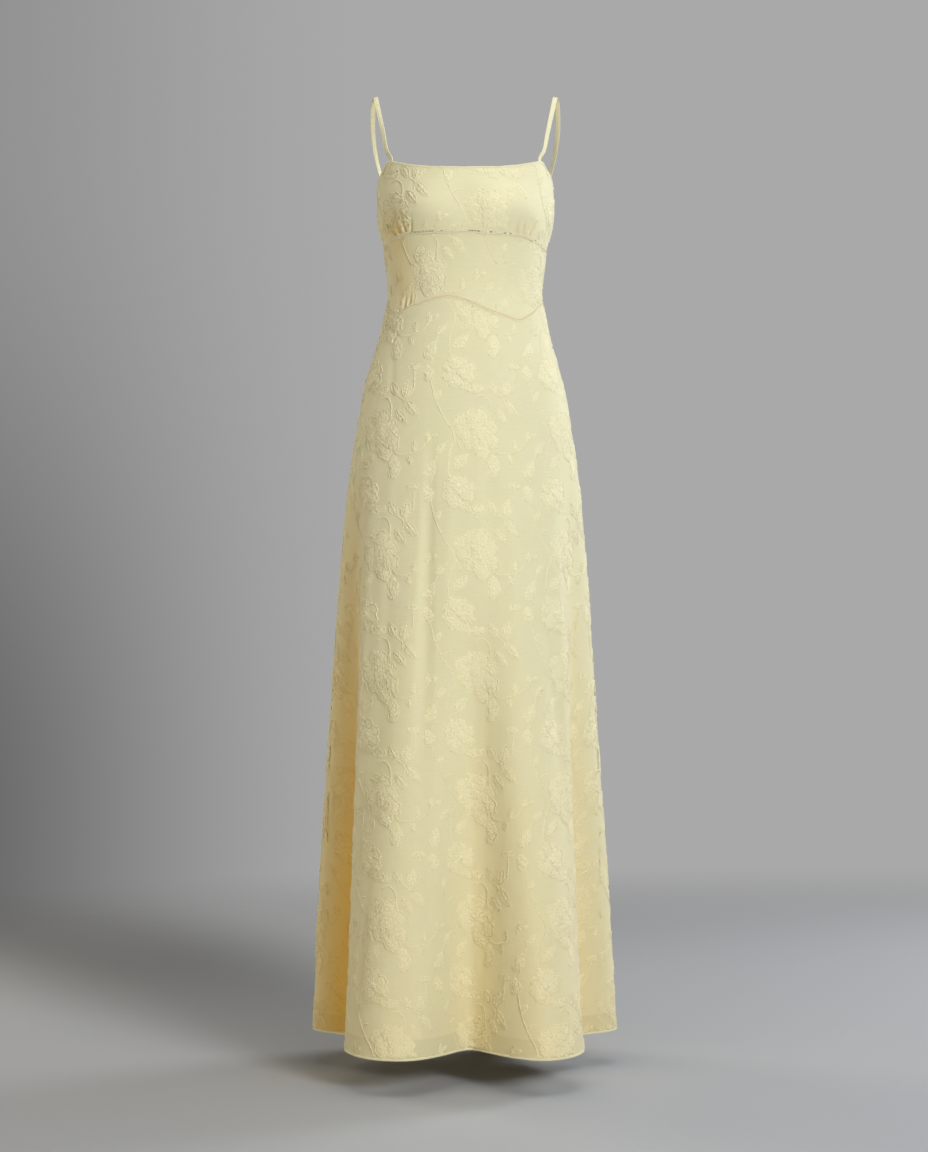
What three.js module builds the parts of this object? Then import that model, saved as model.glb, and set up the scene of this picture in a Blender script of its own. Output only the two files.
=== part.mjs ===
// Maxi dress with two narrow shoulder straps, a gathered bust panel, a princess-seamed midriff, ladder
// trims at the underbust and the curved waist, and a long flared skirt of sheer cloth over a shorter
// lining. Units are millimetres. +Z is up, the front faces -Y and +X is the viewer's right. The origin
// lies midway between the two straps, at the height of the shoulders that carry them. The garment keeps
// the hollow form it has when worn. Every cloth panel is a wall on one closed surface, which is given in
// polar form round the Z axis: 0 degrees is the centre front, +90 the right side seam, 180 the centre
// back.
import * as THREE from "three";

// Cloth, seams and bands.
const WALL = 1.2;
const LINING_WALL = 1;
const SEAM_GAP = 0.3;
// Half of the gap at an upright seam, in degrees.
const SIDE_CLEAR = 0.09;
const TRIM_WIDTH = 5.5;
const TRIM_WALL = 1.4;
const STRAP_WIDTH = 7;
const STRAP_WALL = 1.6;
const STRAP_TUCK = 13;
const STRAP_CLEAR = 4;
const STRAP_GAP = 0.5;
const LINING_GAP_TOP = 0.4;
const LINING_GAP_LOW = 3;
const LINING_GAP_RUN = 60;

// Levels and seam angles.
const HEM_Z = -1405;
const LINING_HEM_Z = HEM_Z + 27;
const SIDE = 90;
const PRINCESS_LEFT = -47.3;
const PRINCESS_RIGHT = 29;
const STRAP_FRONT_ANGLE = 66;
const STRAP_BACK_ANGLE = 111;

// Power of the rounded oval that each level section follows: 2 is an ellipse.
const OVAL = 2.15;

// Level sections of the worn form: half width, depth to the front and to the back of the axis, and
// sideways sway.
const sections = [
  { z: -100, half: 127, front: 96, back: 82, sway: 0 },
  { z: -127, half: 130.5, front: 102, back: 86, sway: 0 },
  { z: -154, half: 132.5, front: 107, back: 89, sway: 0 },
  { z: -185, half: 131.5, front: 108, back: 90, sway: 0 },
  { z: -208, half: 127.5, front: 104, back: 88, sway: 0 },
  { z: -226, half: 122.5, front: 98, back: 86, sway: 0 },
  { z: -250, half: 119.5, front: 92, back: 83, sway: 0 },
  { z: -280, half: 116, front: 88, back: 80, sway: 0 },
  { z: -300, half: 115.5, front: 87, back: 79, sway: -0.3 },
  { z: -334, half: 121.5, front: 91, back: 83, sway: -0.7 },
  { z: -364, half: 128, front: 96, back: 90, sway: -1 },
  { z: -394, half: 137.5, front: 101, back: 99, sway: -1.3 },
  { z: -424, half: 146.5, front: 106, back: 107, sway: -1.6 },
  { z: -454, half: 153, front: 110, back: 113, sway: -1.9 },
  { z: -514, half: 163, front: 117, back: 121, sway: -2 },
  { z: -574, half: 172, front: 124, back: 127, sway: -2 },
  { z: -634, half: 178, front: 130, back: 133, sway: -2 },
  { z: -754, half: 187, front: 141, back: 143, sway: -2 },
  { z: -904, half: 195, front: 153, back: 155, sway: -2 },
  { z: -1054, half: 202, front: 165, back: 167, sway: -2 },
  { z: -1204, half: 208, front: 176, back: 178, sway: -2 },
  { z: HEM_Z, half: 213, front: 187, back: 190, sway: -2 },
];

// Hanging folds of the skirt. Each is a lobe (plus) or a valley (minus) that starts at its own height and
// is deepest at the hem. Root is its angle where it starts and angle its place at the hem, both in degrees
// like the half span. Depth is in millimetres at the hem, and the fold grows with the power of the drop
// given as swell.
const folds = [
  { name: "front_lobe_left", root: -30, angle: -33, span: 30, depth: 34, start: -640, swell: 1.15 },
  { name: "front_lobe_right", root: 30, angle: 35, span: 29, depth: 36, start: -640, swell: 1.15 },
  { name: "front_valley", root: 6, angle: 4, span: 27, depth: -66, start: -730, swell: 1.2 },
  { name: "side_valley_left", root: -70, angle: -76, span: 24, depth: -68, start: -540, swell: 0.95 },
  { name: "side_valley_right", root: 69, angle: 76, span: 25, depth: -66, start: -550, swell: 0.95 },
  { name: "side_lobe_left", root: -98, angle: -104, span: 22, depth: 21, start: -600, swell: 1 },
  { name: "side_lobe_right", root: 98, angle: 102, span: 21, depth: 23, start: -620, swell: 1.6 },
  { name: "back_valley_right", root: 124, angle: 122, span: 17, depth: -36, start: -690, swell: 1.1 },
  { name: "back_lobe_right", root: 144, angle: 143, span: 22, depth: 24, start: -610, swell: 1.1 },
  { name: "back_valley", root: 170, angle: 167, span: 20, depth: -42, start: -730, swell: 1.1 },
  { name: "back_lobe_left", root: -163, angle: -163, span: 23, depth: 22, start: -650, swell: 1.1 },
  { name: "back_valley_left", root: -140, angle: -138, span: 19, depth: -38, start: -700, swell: 1.1 },
];

// Share of its span that a fold has where it starts.
const FOLD_SPAN_START = 0.6;

// Soft rounding of the bust panel over each side of the chest.
const cups = { angle: 34, span: 34, z: -178, reach: 46, depth: 9 };

// Gathers above the underbust seam: angle at the seam and at the tip, height above the seam, depth and
// half width.
const gathers = [
  { foot: -58, tip: -65, height: 27, depth: 1.8, span: 1.9 },
  { foot: -54, tip: -54, height: 36, depth: 2, span: 1.9 },
  { foot: -48.5, tip: -49.5, height: 40, depth: 1.8, span: 1.9 },
  { foot: -43.5, tip: -41, height: 24, depth: 1.6, span: 1.8 },
  { foot: 42.5, tip: 39, height: 24, depth: 1.8, span: 1.8 },
  { foot: 48.5, tip: 44, height: 19, depth: 1.4, span: 1.8 },
  { foot: 54, tip: 56, height: 30, depth: 1.8, span: 1.9 },
];

// Small tucks of the left midriff panel, which stand on the waist seam.
const tucks = [
  { foot: -60, tip: -60, height: 18, depth: 1.3, span: 1.8 },
  { foot: -55.5, tip: -55, height: 26, depth: 1.6, span: 1.9 },
  { foot: -51, tip: -50.5, height: 20, depth: 1.3, span: 1.8 },
];

// Heights of the edges and seams by angle.
const topEdge = [
  { angle: -180, z: -156 },
  { angle: -140, z: -155 },
  { angle: -111, z: -150 },
  { angle: -98, z: -141 },
  { angle: -90, z: -134 },
  { angle: -85, z: -129 },
  { angle: -80, z: -123 },
  { angle: -72, z: -114 },
  { angle: -68.5, z: -105 },
  { angle: -64, z: -105 },
  { angle: -55, z: -110 },
  { angle: -43, z: -115.5 },
  { angle: -28, z: -119.8 },
  { angle: 0, z: -121.5 },
  { angle: 28, z: -119.8 },
  { angle: 43, z: -115.5 },
  { angle: 55, z: -110 },
  { angle: 64, z: -105 },
  { angle: 68.5, z: -105 },
  { angle: 72, z: -114 },
  { angle: 80, z: -123 },
  { angle: 85, z: -129 },
  { angle: 90, z: -134 },
  { angle: 98, z: -141 },
  { angle: 111, z: -150 },
  { angle: 140, z: -155 },
  { angle: 180, z: -156 },
];
const underbust = [
  { angle: -180, z: -230 },
  { angle: -90, z: -228.5 },
  { angle: -75, z: -226.5 },
  { angle: -65, z: -222 },
  { angle: -50, z: -216.3 },
  { angle: -30, z: -215.6 },
  { angle: 0, z: -215.3 },
  { angle: 30, z: -217.6 },
  { angle: 50, z: -219.2 },
  { angle: 60, z: -223.5 },
  { angle: 72, z: -229.5 },
  { angle: 90, z: -231 },
  { angle: 180, z: -230 },
];
const waist = [
  { angle: -180, z: -312 },
  { angle: -90, z: -311 },
  { angle: -76, z: -319 },
  { angle: -66, z: -328.5 },
  { angle: -60, z: -330.3 },
  { angle: -51, z: -322.5 },
  { angle: -41, z: -318 },
  { angle: -33, z: -313.8 },
  { angle: -24.5, z: -309.7 },
  { angle: -14, z: -308.2 },
  { angle: 0, z: -313.4 },
  { angle: 12, z: -321.3 },
  { angle: 21, z: -327.8 },
  { angle: 33, z: -334.7 },
  { angle: 41, z: -339.6 },
  { angle: 48, z: -342 },
  { angle: 59, z: -332.5 },
  { angle: 75, z: -315 },
  { angle: 90, z: -310.5 },
  { angle: 180, z: -312 },
];

// Middle of the right strap from its front end to its back end. The left strap is its mirror image. Turn
// says how its width lies: 0 along the front panel, 1 across the shoulder and 2 along the back panel.
const strapRoute = [
  { x: 116, y: -43.5, z: -89, turn: 0.15 },
  { x: 122.5, y: -32, z: -58, turn: 0.4 },
  { x: 129, y: -18.5, z: -27, turn: 0.75 },
  { x: 132.8, y: -9, z: -9, turn: 0.95 },
  { x: 135, y: 0, z: -0.8, turn: 1 },
  { x: 137.5, y: 9, z: -5, turn: 1.05 },
  { x: 139.5, y: 20, z: -22, turn: 1.2 },
  { x: 139.8, y: 32, z: -46, turn: 1.45 },
  { x: 137, y: 41.5, z: -73, turn: 1.7 },
  { x: 131.5, y: 47, z: -99, turn: 1.85 },
  { x: 124, y: 48, z: -124, turn: 1.95 },
];
// Slope of the strap's width where it lies on the shoulder, in degrees.
const SHOULDER_TILT = 14;
const STRAP_STEPS = 34;

// Angle to either side over which the run of a level section is measured, in degrees.
const RUN_PROBE = 0.25;

// Grid of the panels: steps in degrees, and rows as shares of a panel's height.
const PANEL_STEP = 4;
const FINE_PARTS = 3;
const FINE_STEP = PANEL_STEP / FINE_PARTS;
// Columns keep this far from a panel's own edge, in degrees.
const EDGE_MARGIN = PANEL_STEP / 4;
const GATHER_ZONES = [
  { from: -67, to: -41 },
  { from: 41, to: 67 },
];
const TUCK_ZONES = [{ from: -63, to: PRINCESS_LEFT }];
const bustRows = [0, 0.24, 0.46, 0.64, 0.8, 0.91, 1];
const backRows = [0, 0.33, 0.67, 1];
const midriffRows = [0, 0.3, 0.6, 0.8, 0.91, 1];
const skirtRows = [0, 0.04, 0.085, 0.14, 0.22, 0.34, 0.5, 0.74, 1];

const rad = THREE.MathUtils.degToRad;
const lerp = THREE.MathUtils.lerp;

// Smooth value of a table's column at a place along its key column, with the ends held.
function along(table, key, column, at) {
  const sign = Math.sign(table[1][key] - table[0][key]);
  const last = table.length - 1;
  const slope = (i) => {
    const a = table[Math.max(i - 1, 0)];
    const b = table[Math.min(i + 1, last)];
    return (b[column] - a[column]) / (b[key] - a[key]);
  };
  if (sign * (at - table[0][key]) <= 0) return table[0][column];
  if (sign * (at - table[last][key]) >= 0) return table[last][column];
  let i = 0;
  while (sign * (at - table[i + 1][key]) > 0) i += 1;
  const step = table[i + 1][key] - table[i][key];
  const t = (at - table[i][key]) / step;
  const rise = 3 * t * t - 2 * t * t * t;
  const start = t * (1 - t) * (1 - t) * step * slope(i);
  const end = t * t * (t - 1) * step * slope(i + 1);
  return lerp(table[i][column], table[i + 1][column], rise) + start + end;
}

// Straight value between a table's rows, for edges that have corners.
function straight(table, column, at) {
  let i = 0;
  while (i < table.length - 2 && at > table[i + 1].angle) i += 1;
  const t = (at - table[i].angle) / (table[i + 1].angle - table[i].angle);
  return lerp(table[i][column], table[i + 1][column], Math.min(Math.max(t, 0), 1));
}

// Height of a seam at an angle. It runs straight between the grid's columns, so both of its panels follow
// one line.
function seamLine(table, angle) {
  const column = Math.floor(angle / PANEL_STEP) * PANEL_STEP;
  const left = along(table, "angle", "z", column);
  const right = along(table, "angle", "z", column + PANEL_STEP);
  return lerp(left, right, (angle - column) / PANEL_STEP);
}

// Soft bump that is 1 in the middle and 0 at its span.
function bump(distance, span) {
  return Math.abs(distance) < span ? Math.cos((Math.PI / 2) * (distance / span)) ** 2 : 0;
}

// Signed difference of two angles, from -180 to 180 degrees.
function apart(a, b) {
  return ((((a - b + 180) % 360) + 360) % 360) - 180;
}

// Distance of the cloth from the axis, without its gathers and tucks.
function formRadius(angle, z) {
  const half = along(sections, "z", "half", z);
  const front = along(sections, "z", "front", z);
  const back = along(sections, "z", "back", z);
  const across = Math.abs(Math.sin(rad(angle))) / half;
  const deep = Math.abs(Math.cos(rad(angle))) / (Math.cos(rad(angle)) > 0 ? front : back);
  let radius = (across ** OVAL + deep ** OVAL) ** (-1 / OVAL);
  for (const side of [-1, 1]) {
    radius += cups.depth * bump(apart(angle, side * cups.angle), cups.span) * bump(z - cups.z, cups.reach);
  }
  for (const fold of folds) {
    const drop = Math.min(Math.max((fold.start - z) / (fold.start - HEM_Z), 0), 1);
    const span = fold.span * lerp(FOLD_SPAN_START, 1, drop);
    radius += fold.depth * drop ** fold.swell * bump(apart(angle, lerp(fold.root, fold.angle, drop)), span);
  }
  return radius;
}

// Depth of the gathers or tucks in a list at a place a given height above their seam.
function pinch(list, angle, height) {
  let depth = 0;
  for (const g of list) {
    const t = Math.max(height, 0) / g.height;
    const middle = lerp(g.foot, g.tip, Math.min(t, 1));
    depth += g.depth * bump(Math.min(t, 1), 1) * bump(angle - middle, g.span);
  }
  return depth;
}

// Point of the form at an angle and a height, moved out along the level section's normal.
function onForm(angle, z, out) {
  const at = (a) => {
    const r = formRadius(a, z);
    return new THREE.Vector2(along(sections, "z", "sway", z) + r * Math.sin(rad(a)), -r * Math.cos(rad(a)));
  };
  const run = at(angle + RUN_PROBE).sub(at(angle - RUN_PROBE)).normalize();
  const point = at(angle);
  return new THREE.Vector3(point.x + run.y * out, point.y - run.x * out, z);
}

// Outward unit normal of the level section.
function normalAt(angle, z) {
  return onForm(angle, z, 1).sub(onForm(angle, z, 0));
}

// Angles from one edge of a panel to the other. They keep to one grid, so that panels which meet at a seam
// share its corners, and they lie closer together over the zones given.
function columns(from, to, zones = []) {
  const list = [from];
  for (let k = Math.ceil((from + EDGE_MARGIN) / FINE_STEP); k * FINE_STEP < to - EDGE_MARGIN; k += 1) {
    const at = k * FINE_STEP;
    const fine = zones.some((zone) => at >= zone.from && at <= zone.to);
    if (fine || k % FINE_PARTS === 0) list.push(at);
  }
  return [...list, to];
}

// Closed grid of quads from an outer and an inner sheet of points, both [column][row].
function closedSheets(outer, inner) {
  const wide = outer.length;
  const tall = outer[0].length;
  const position = [];
  for (const sheet of [outer, inner]) {
    for (const column of sheet) {
      for (const point of column) position.push(point.x, point.y, point.z);
    }
  }
  const vertex = (sheet, column, row) => (sheet * wide + column) * tall + row;
  const index = [];
  const quad = (a, b, c, d) => index.push(a, b, c, a, c, d);
  for (let i = 0; i < wide - 1; i += 1) {
    for (let j = 0; j < tall - 1; j += 1) {
      quad(vertex(0, i, j), vertex(0, i, j + 1), vertex(0, i + 1, j + 1), vertex(0, i + 1, j));
      quad(vertex(1, i, j), vertex(1, i + 1, j), vertex(1, i + 1, j + 1), vertex(1, i, j + 1));
    }
    quad(vertex(0, i, 0), vertex(0, i + 1, 0), vertex(1, i + 1, 0), vertex(1, i, 0));
    const j = tall - 1;
    quad(vertex(0, i, j), vertex(1, i, j), vertex(1, i + 1, j), vertex(0, i + 1, j));
  }
  for (let j = 0; j < tall - 1; j += 1) {
    const i = wide - 1;
    quad(vertex(0, 0, j), vertex(1, 0, j), vertex(1, 0, j + 1), vertex(0, 0, j + 1));
    quad(vertex(0, i, j), vertex(0, i, j + 1), vertex(1, i, j + 1), vertex(1, i, j));
  }
  const geometry = new THREE.BufferGeometry();
  geometry.setAttribute("position", new THREE.Float32BufferAttribute(position, 3));
  geometry.setIndex(index);
  geometry.computeVertexNormals();
  return geometry;
}

// Cloth wall between two edge curves. dent gives the depth of its gathers, and out how far it lies off the
// form.
function panel({ angles, rows, top, bottom, wall = WALL, out = () => 0, dent = () => 0 }) {
  const sheet = (inward) =>
    angles.map((angle) =>
      rows.map((share) => {
        const z = lerp(top(angle), bottom(angle), share);
        return onForm(angle, z, out(angle, z) - dent(angle, z) - inward);
      }),
    );
  return closedSheets(sheet(0), sheet(wall));
}

// Flat band whose width and thickness follow a list of stations.
function band(stations) {
  const half = STRAP_WIDTH / 2;
  const corner = (s, across, up) =>
    s.point.clone().addScaledVector(s.width, across * half).addScaledVector(s.face, (up * STRAP_WALL) / 2);
  const outer = stations.map((s) => [corner(s, 1, 1), corner(s, -1, 1)]);
  const inner = stations.map((s) => [corner(s, 1, -1), corner(s, -1, -1)]);
  return closedSheets(outer, inner);
}

const topAt = (angle) => straight(topEdge, "z", angle);
const underbustAt = (angle) => seamLine(underbust, angle);
const waistAt = (angle) => seamLine(waist, angle);
const trimHalf = TRIM_WIDTH / 2;

function sewn(name, geometry, material) {
  const mesh = new THREE.Mesh(geometry, material);
  mesh.name = name;
  return mesh;
}

function clothMaterial(colour, roughness) {
  return new THREE.MeshStandardMaterial({ color: colour, roughness, metalness: 0, side: THREE.DoubleSide });
}

const outerCloth = clothMaterial("#e9e3b8", 0.75);
const liningCloth = clothMaterial("#e3d9a6", 0.6);
const trimThread = clothMaterial("#ece3bd", 0.8);

// Angles of a panel between two seams, each held back by half of the seam's gap.
function between(from, to, zones) {
  return columns(from + SIDE_CLEAR, to - SIDE_CLEAR, zones);
}

function bustFront() {
  const geometry = panel({
    angles: between(-SIDE, SIDE, GATHER_ZONES),
    rows: bustRows,
    top: topAt,
    bottom: (a) => underbustAt(a) + trimHalf + SEAM_GAP,
    dent: (a, z) => pinch(gathers, a, z - underbustAt(a) - trimHalf),
  });
  return sewn("bust_front", geometry, outerCloth);
}

// Height of a table's edge on the back half, whose angles run from 90 to 270 degrees.
function behind(edge) {
  return (angle) => edge(angle > 180 ? angle - 360 : angle);
}

function bustBack() {
  const geometry = panel({
    angles: between(SIDE, 360 - SIDE),
    rows: backRows,
    top: behind(topAt),
    bottom: (a) => behind(underbustAt)(a) + SEAM_GAP / 2,
  });
  return sewn("bust_back", geometry, outerCloth);
}

function midriffFront(name, from, to, zones) {
  const geometry = panel({
    angles: between(from, to, zones),
    rows: midriffRows,
    top: (a) => underbustAt(a) - trimHalf - SEAM_GAP,
    bottom: (a) => waistAt(a) + trimHalf + SEAM_GAP,
    dent: (a, z) => pinch(tucks, a, z - waistAt(a) - trimHalf),
  });
  return sewn(name, geometry, outerCloth);
}

function midriffBack() {
  const geometry = panel({
    angles: between(SIDE, 360 - SIDE),
    rows: backRows,
    top: (a) => behind(underbustAt)(a) - SEAM_GAP / 2,
    bottom: (a) => behind(waistAt)(a) + SEAM_GAP / 2,
  });
  return sewn("midriff_back", geometry, outerCloth);
}

// Ladder trim set into the seam whose height edge gives.
function trim(name, edge) {
  const geometry = panel({
    angles: between(-SIDE, SIDE),
    rows: [0, 1],
    top: (a) => edge(a) + trimHalf,
    bottom: (a) => edge(a) - trimHalf,
    wall: TRIM_WALL,
    out: () => TRIM_WALL - WALL,
  });
  return sewn(name, geometry, trimThread);
}

function skirtFront() {
  const geometry = panel({
    angles: between(-SIDE, SIDE),
    rows: skirtRows,
    top: (a) => waistAt(a) - trimHalf - SEAM_GAP,
    bottom: () => HEM_Z,
  });
  return sewn("skirt_front", geometry, outerCloth);
}

function skirtBack() {
  const geometry = panel({
    angles: between(SIDE, 360 - SIDE),
    rows: skirtRows,
    top: (a) => behind(waistAt)(a) - SEAM_GAP / 2,
    bottom: () => HEM_Z,
  });
  return sewn("skirt_back", geometry, outerCloth);
}

// Lining, which hangs from the waist seam close inside the skirt and ends above its hem.
function lining(name, from, to, edge) {
  const top = (a) => edge(a) - trimHalf - SEAM_GAP;
  const geometry = panel({
    angles: between(from, to),
    rows: skirtRows,
    top,
    bottom: () => LINING_HEM_Z,
    wall: LINING_WALL,
    out: (a, z) => {
      const share = Math.min((top(a) - z) / LINING_GAP_RUN, 1);
      return -WALL - lerp(LINING_GAP_TOP, LINING_GAP_LOW, share);
    },
  });
  return sewn(name, geometry, liningCloth);
}

// Stations of one strap. side is 1 for the right strap and -1 for the left one.
function strap(name, side) {
  const inside = -WALL - STRAP_GAP - STRAP_WALL / 2;
  const seat = (angle, drop) => onForm(angle, topAt(angle) - drop, inside);
  const front = [seat(STRAP_FRONT_ANGLE, STRAP_TUCK), seat(STRAP_FRONT_ANGLE, -STRAP_CLEAR)];
  const back = [seat(STRAP_BACK_ANGLE, -STRAP_CLEAR), seat(STRAP_BACK_ANGLE, STRAP_TUCK)];
  const route = strapRoute.map((r) => new THREE.Vector3(r.x, r.y, r.z));
  const turns = [0, 0, ...strapRoute.map((r) => r.turn), 2, 2];
  const curve = new THREE.CatmullRomCurve3([...front, ...route, ...back], false, "centripetal");

  const frontNormal = normalAt(STRAP_FRONT_ANGLE, front[1].z);
  const backNormal = normalAt(STRAP_BACK_ANGLE, back[0].z);
  const tilt = rad(SHOULDER_TILT);
  const widths = [
    new THREE.Vector3(-frontNormal.y, frontNormal.x, 0),
    new THREE.Vector3(Math.cos(tilt), 0, -Math.sin(tilt)),
    new THREE.Vector3(backNormal.y, -backNormal.x, 0),
  ];
  const stations = [];
  for (let i = 0; i <= STRAP_STEPS; i += 1) {
    const t = i / STRAP_STEPS;
    const place = t * (turns.length - 1);
    const before = Math.min(Math.floor(place), turns.length - 2);
    const turn = lerp(turns[before], turns[before + 1], place - before);
    const leg = turn < 1 ? 0 : 1;
    const width = widths[leg].clone().lerp(widths[leg + 1], turn - leg);
    const point = curve.getPoint(t);
    const forward = curve.getTangent(t);
    width.addScaledVector(forward, -width.dot(forward)).normalize();
    const face = width.clone().cross(forward);
    for (const v of [point, width, face]) v.x *= side;
    stations.push({ point, width, face });
  }
  if (side > 0) stations.reverse();
  return sewn(name, band(stations), outerCloth);
}

const dress = new THREE.Group();
dress.add(
  bustFront(),
  bustBack(),
  strap("strap_right", 1),
  strap("strap_left", -1),
  trim("underbust_trim", underbustAt),
  midriffFront("midriff_centre", PRINCESS_LEFT, PRINCESS_RIGHT),
  midriffFront("midriff_left", -SIDE, PRINCESS_LEFT, TUCK_ZONES),
  midriffFront("midriff_right", PRINCESS_RIGHT, SIDE),
  midriffBack(),
  trim("waist_trim", waistAt),
  skirtFront(),
  skirtBack(),
  lining("lining_front", -SIDE, SIDE, waistAt),
  lining("lining_back", SIDE, 360 - SIDE, behind(waistAt)),
);

export default dress;
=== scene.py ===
"""Maxi dress of figured chiffon over a plain lining, filled out as if worn.

Every cloth panel lies on one closed form, which is given in polar form round the Z axis: 0 degrees is the
centre front, +90 the right side seam and 180 the centre back. Sizes and heights of the dress are in
millimetres, and meshes are in metres.
"""
import math
import random
from collections import namedtuple

import bpy
import numpy as np
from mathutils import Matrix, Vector


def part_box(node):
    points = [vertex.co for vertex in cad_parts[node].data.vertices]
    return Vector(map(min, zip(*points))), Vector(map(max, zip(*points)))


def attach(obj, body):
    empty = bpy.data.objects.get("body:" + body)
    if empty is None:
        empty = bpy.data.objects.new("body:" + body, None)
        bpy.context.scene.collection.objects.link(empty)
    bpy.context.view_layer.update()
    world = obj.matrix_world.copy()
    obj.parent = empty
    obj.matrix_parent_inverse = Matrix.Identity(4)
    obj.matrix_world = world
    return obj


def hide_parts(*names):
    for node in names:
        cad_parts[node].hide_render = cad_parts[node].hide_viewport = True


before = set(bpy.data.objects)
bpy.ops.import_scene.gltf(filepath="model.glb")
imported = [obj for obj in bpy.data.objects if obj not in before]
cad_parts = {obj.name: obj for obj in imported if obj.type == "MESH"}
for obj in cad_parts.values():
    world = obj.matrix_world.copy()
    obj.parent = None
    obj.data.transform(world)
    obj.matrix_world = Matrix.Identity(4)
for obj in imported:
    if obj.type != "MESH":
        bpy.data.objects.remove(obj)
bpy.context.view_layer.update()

bl_info = {
    "name": "Maxi Dress",
    "version": (1, 0, 0),
    "blender": (4, 5, 0),
    "location": "View3D > Sidebar > Dress",
    "description": "Builds a strap maxi dress of figured chiffon with ladder trims over a shorter lining",
    "category": "Add Mesh",
}

MM = 0.001
BODY = "root"

# ---- Form of the dress ----

CAD_WALL = 1.2
LINING_GAP_TOP = 0.4
LINING_GAP_LOW = 3.0
LINING_GAP_RUN = 60.0
SIDE = 90.0
PRINCESS_LEFT = -47.3
PRINCESS_RIGHT = 29.0
TRIM_HALF = 2.75
# Power of the oval sections: 2 is an ellipse, and more is squarer.
OVAL = 2.15
HEM_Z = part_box("skirt_front")[0].z / MM
LINING_HEM_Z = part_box("lining_front")[0].z / MM

# Level sections of the body: height, half width, depth to the front and to the back, and sideways sway.
Section = namedtuple("Section", "z half front back sway")
SECTIONS = [Section(*row) for row in (
    (-100, 127, 96, 82, 0),
    (-127, 130.5, 102, 86, 0),
    (-154, 132.5, 107, 89, 0),
    (-185, 131.5, 108, 90, 0),
    (-208, 127.5, 104, 88, 0),
    (-226, 122.5, 98, 86, 0),
    (-250, 119.5, 92, 83, 0),
    (-280, 116, 88, 80, 0),
    (-300, 115.5, 87, 79, -0.3),
    (-334, 121.5, 91, 83, -0.7),
    (-364, 128, 96, 90, -1),
    (-394, 137.5, 101, 99, -1.3),
    (-424, 146.5, 106, 107, -1.6),
    (-454, 153, 110, 113, -1.9),
    (-514, 163, 117, 121, -2),
    (-574, 172, 124, 127, -2),
    (-634, 178, 130, 133, -2),
    (-754, 187, 141, 143, -2),
    (-904, 195, 153, 155, -2),
    (-1054, 202, 165, 167, -2),
    (-1204, 208, 176, 178, -2),
    (HEM_Z, 213, 187, 190, -2),
)]

# Hanging folds. Root is the angle where a fold starts, and angle its place at the hem. The third-last column
# is how strong the painted golden shade of a fold gets, which grows with its own power of the drop, given
# next, and the last column moves that painted shade sideways in degrees, towards the fold's shaded side.
Fold = namedtuple("Fold", "root angle span depth start swell gold gold_swell gold_aside", defaults=(0,))
FOLDS = [Fold(*row) for row in (
    (-30, -33, 30, 34, -640, 1.15, 0, 1),
    (30, 35, 29, 36, -640, 1.15, 0, 1),
    (6, 4, 27, -66, -730, 1.2, 0.12, 0.8, 10),
    (-70, -76, 24, -68, -540, 0.95, 1.15, 0.75, -5),
    (69, 76, 25, -66, -550, 0.95, 0.3, 1.0),
    (-98, -104, 22, 21, -600, 1, 0, 1),
    (98, 102, 21, 23, -620, 1.6, 0, 1),
    (124, 122, 17, -36, -690, 1.1, 0.4, 0.5),
    (144, 143, 22, 24, -610, 1.1, 0, 1),
    (170, 167, 20, -42, -730, 1.1, 0.4, 0.5),
    (-163, -163, 23, 22, -650, 1.1, 0, 1),
    (-140, -138, 19, -38, -700, 1.1, 0.5, 0.5),
)]

# A fold and its painted golden shade are this share of their width where the fold starts.
FOLD_ROOT_SPAN = 0.6
SHADE_ROOT_SPAN = 0.7

# Soft swell of each side of the bust.
CUP_ANGLE = 34.0
CUP_SPAN = 34.0
CUP_Z = -178.0
CUP_REACH = 46.0
CUP_DEPTH = 9.0

# Gathers and tucks: angle at the seam and at the tip, height above the seam, depth and half width in degrees.
Pinch = namedtuple("Pinch", "foot tip height depth span")
GATHERS = [Pinch(*row) for row in (
    (-59, -66, 30, 3.4, 2.2),
    (-54, -55, 40, 4.2, 2.1),
    (-48.5, -48, 46, 3.8, 2.0),
    (-43.5, -39, 24, 2.6, 1.8),
    (42.5, 39, 24, 2.5, 1.8),
    (48.5, 44, 19, 2.4, 1.8),
    (54, 57, 32, 3.0, 1.9),
)]
TUCKS = [Pinch(*row) for row in (
    (-60, -60, 18, 2.2, 1.8),
    (-55.5, -55, 27, 3.0, 1.9),
    (-51, -50.5, 20, 2.4, 1.8),
)]

# How a crease fades out along it: over 1, so that it keeps a little of its depth at its ends.
CREASE_FADE = 1.15

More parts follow.
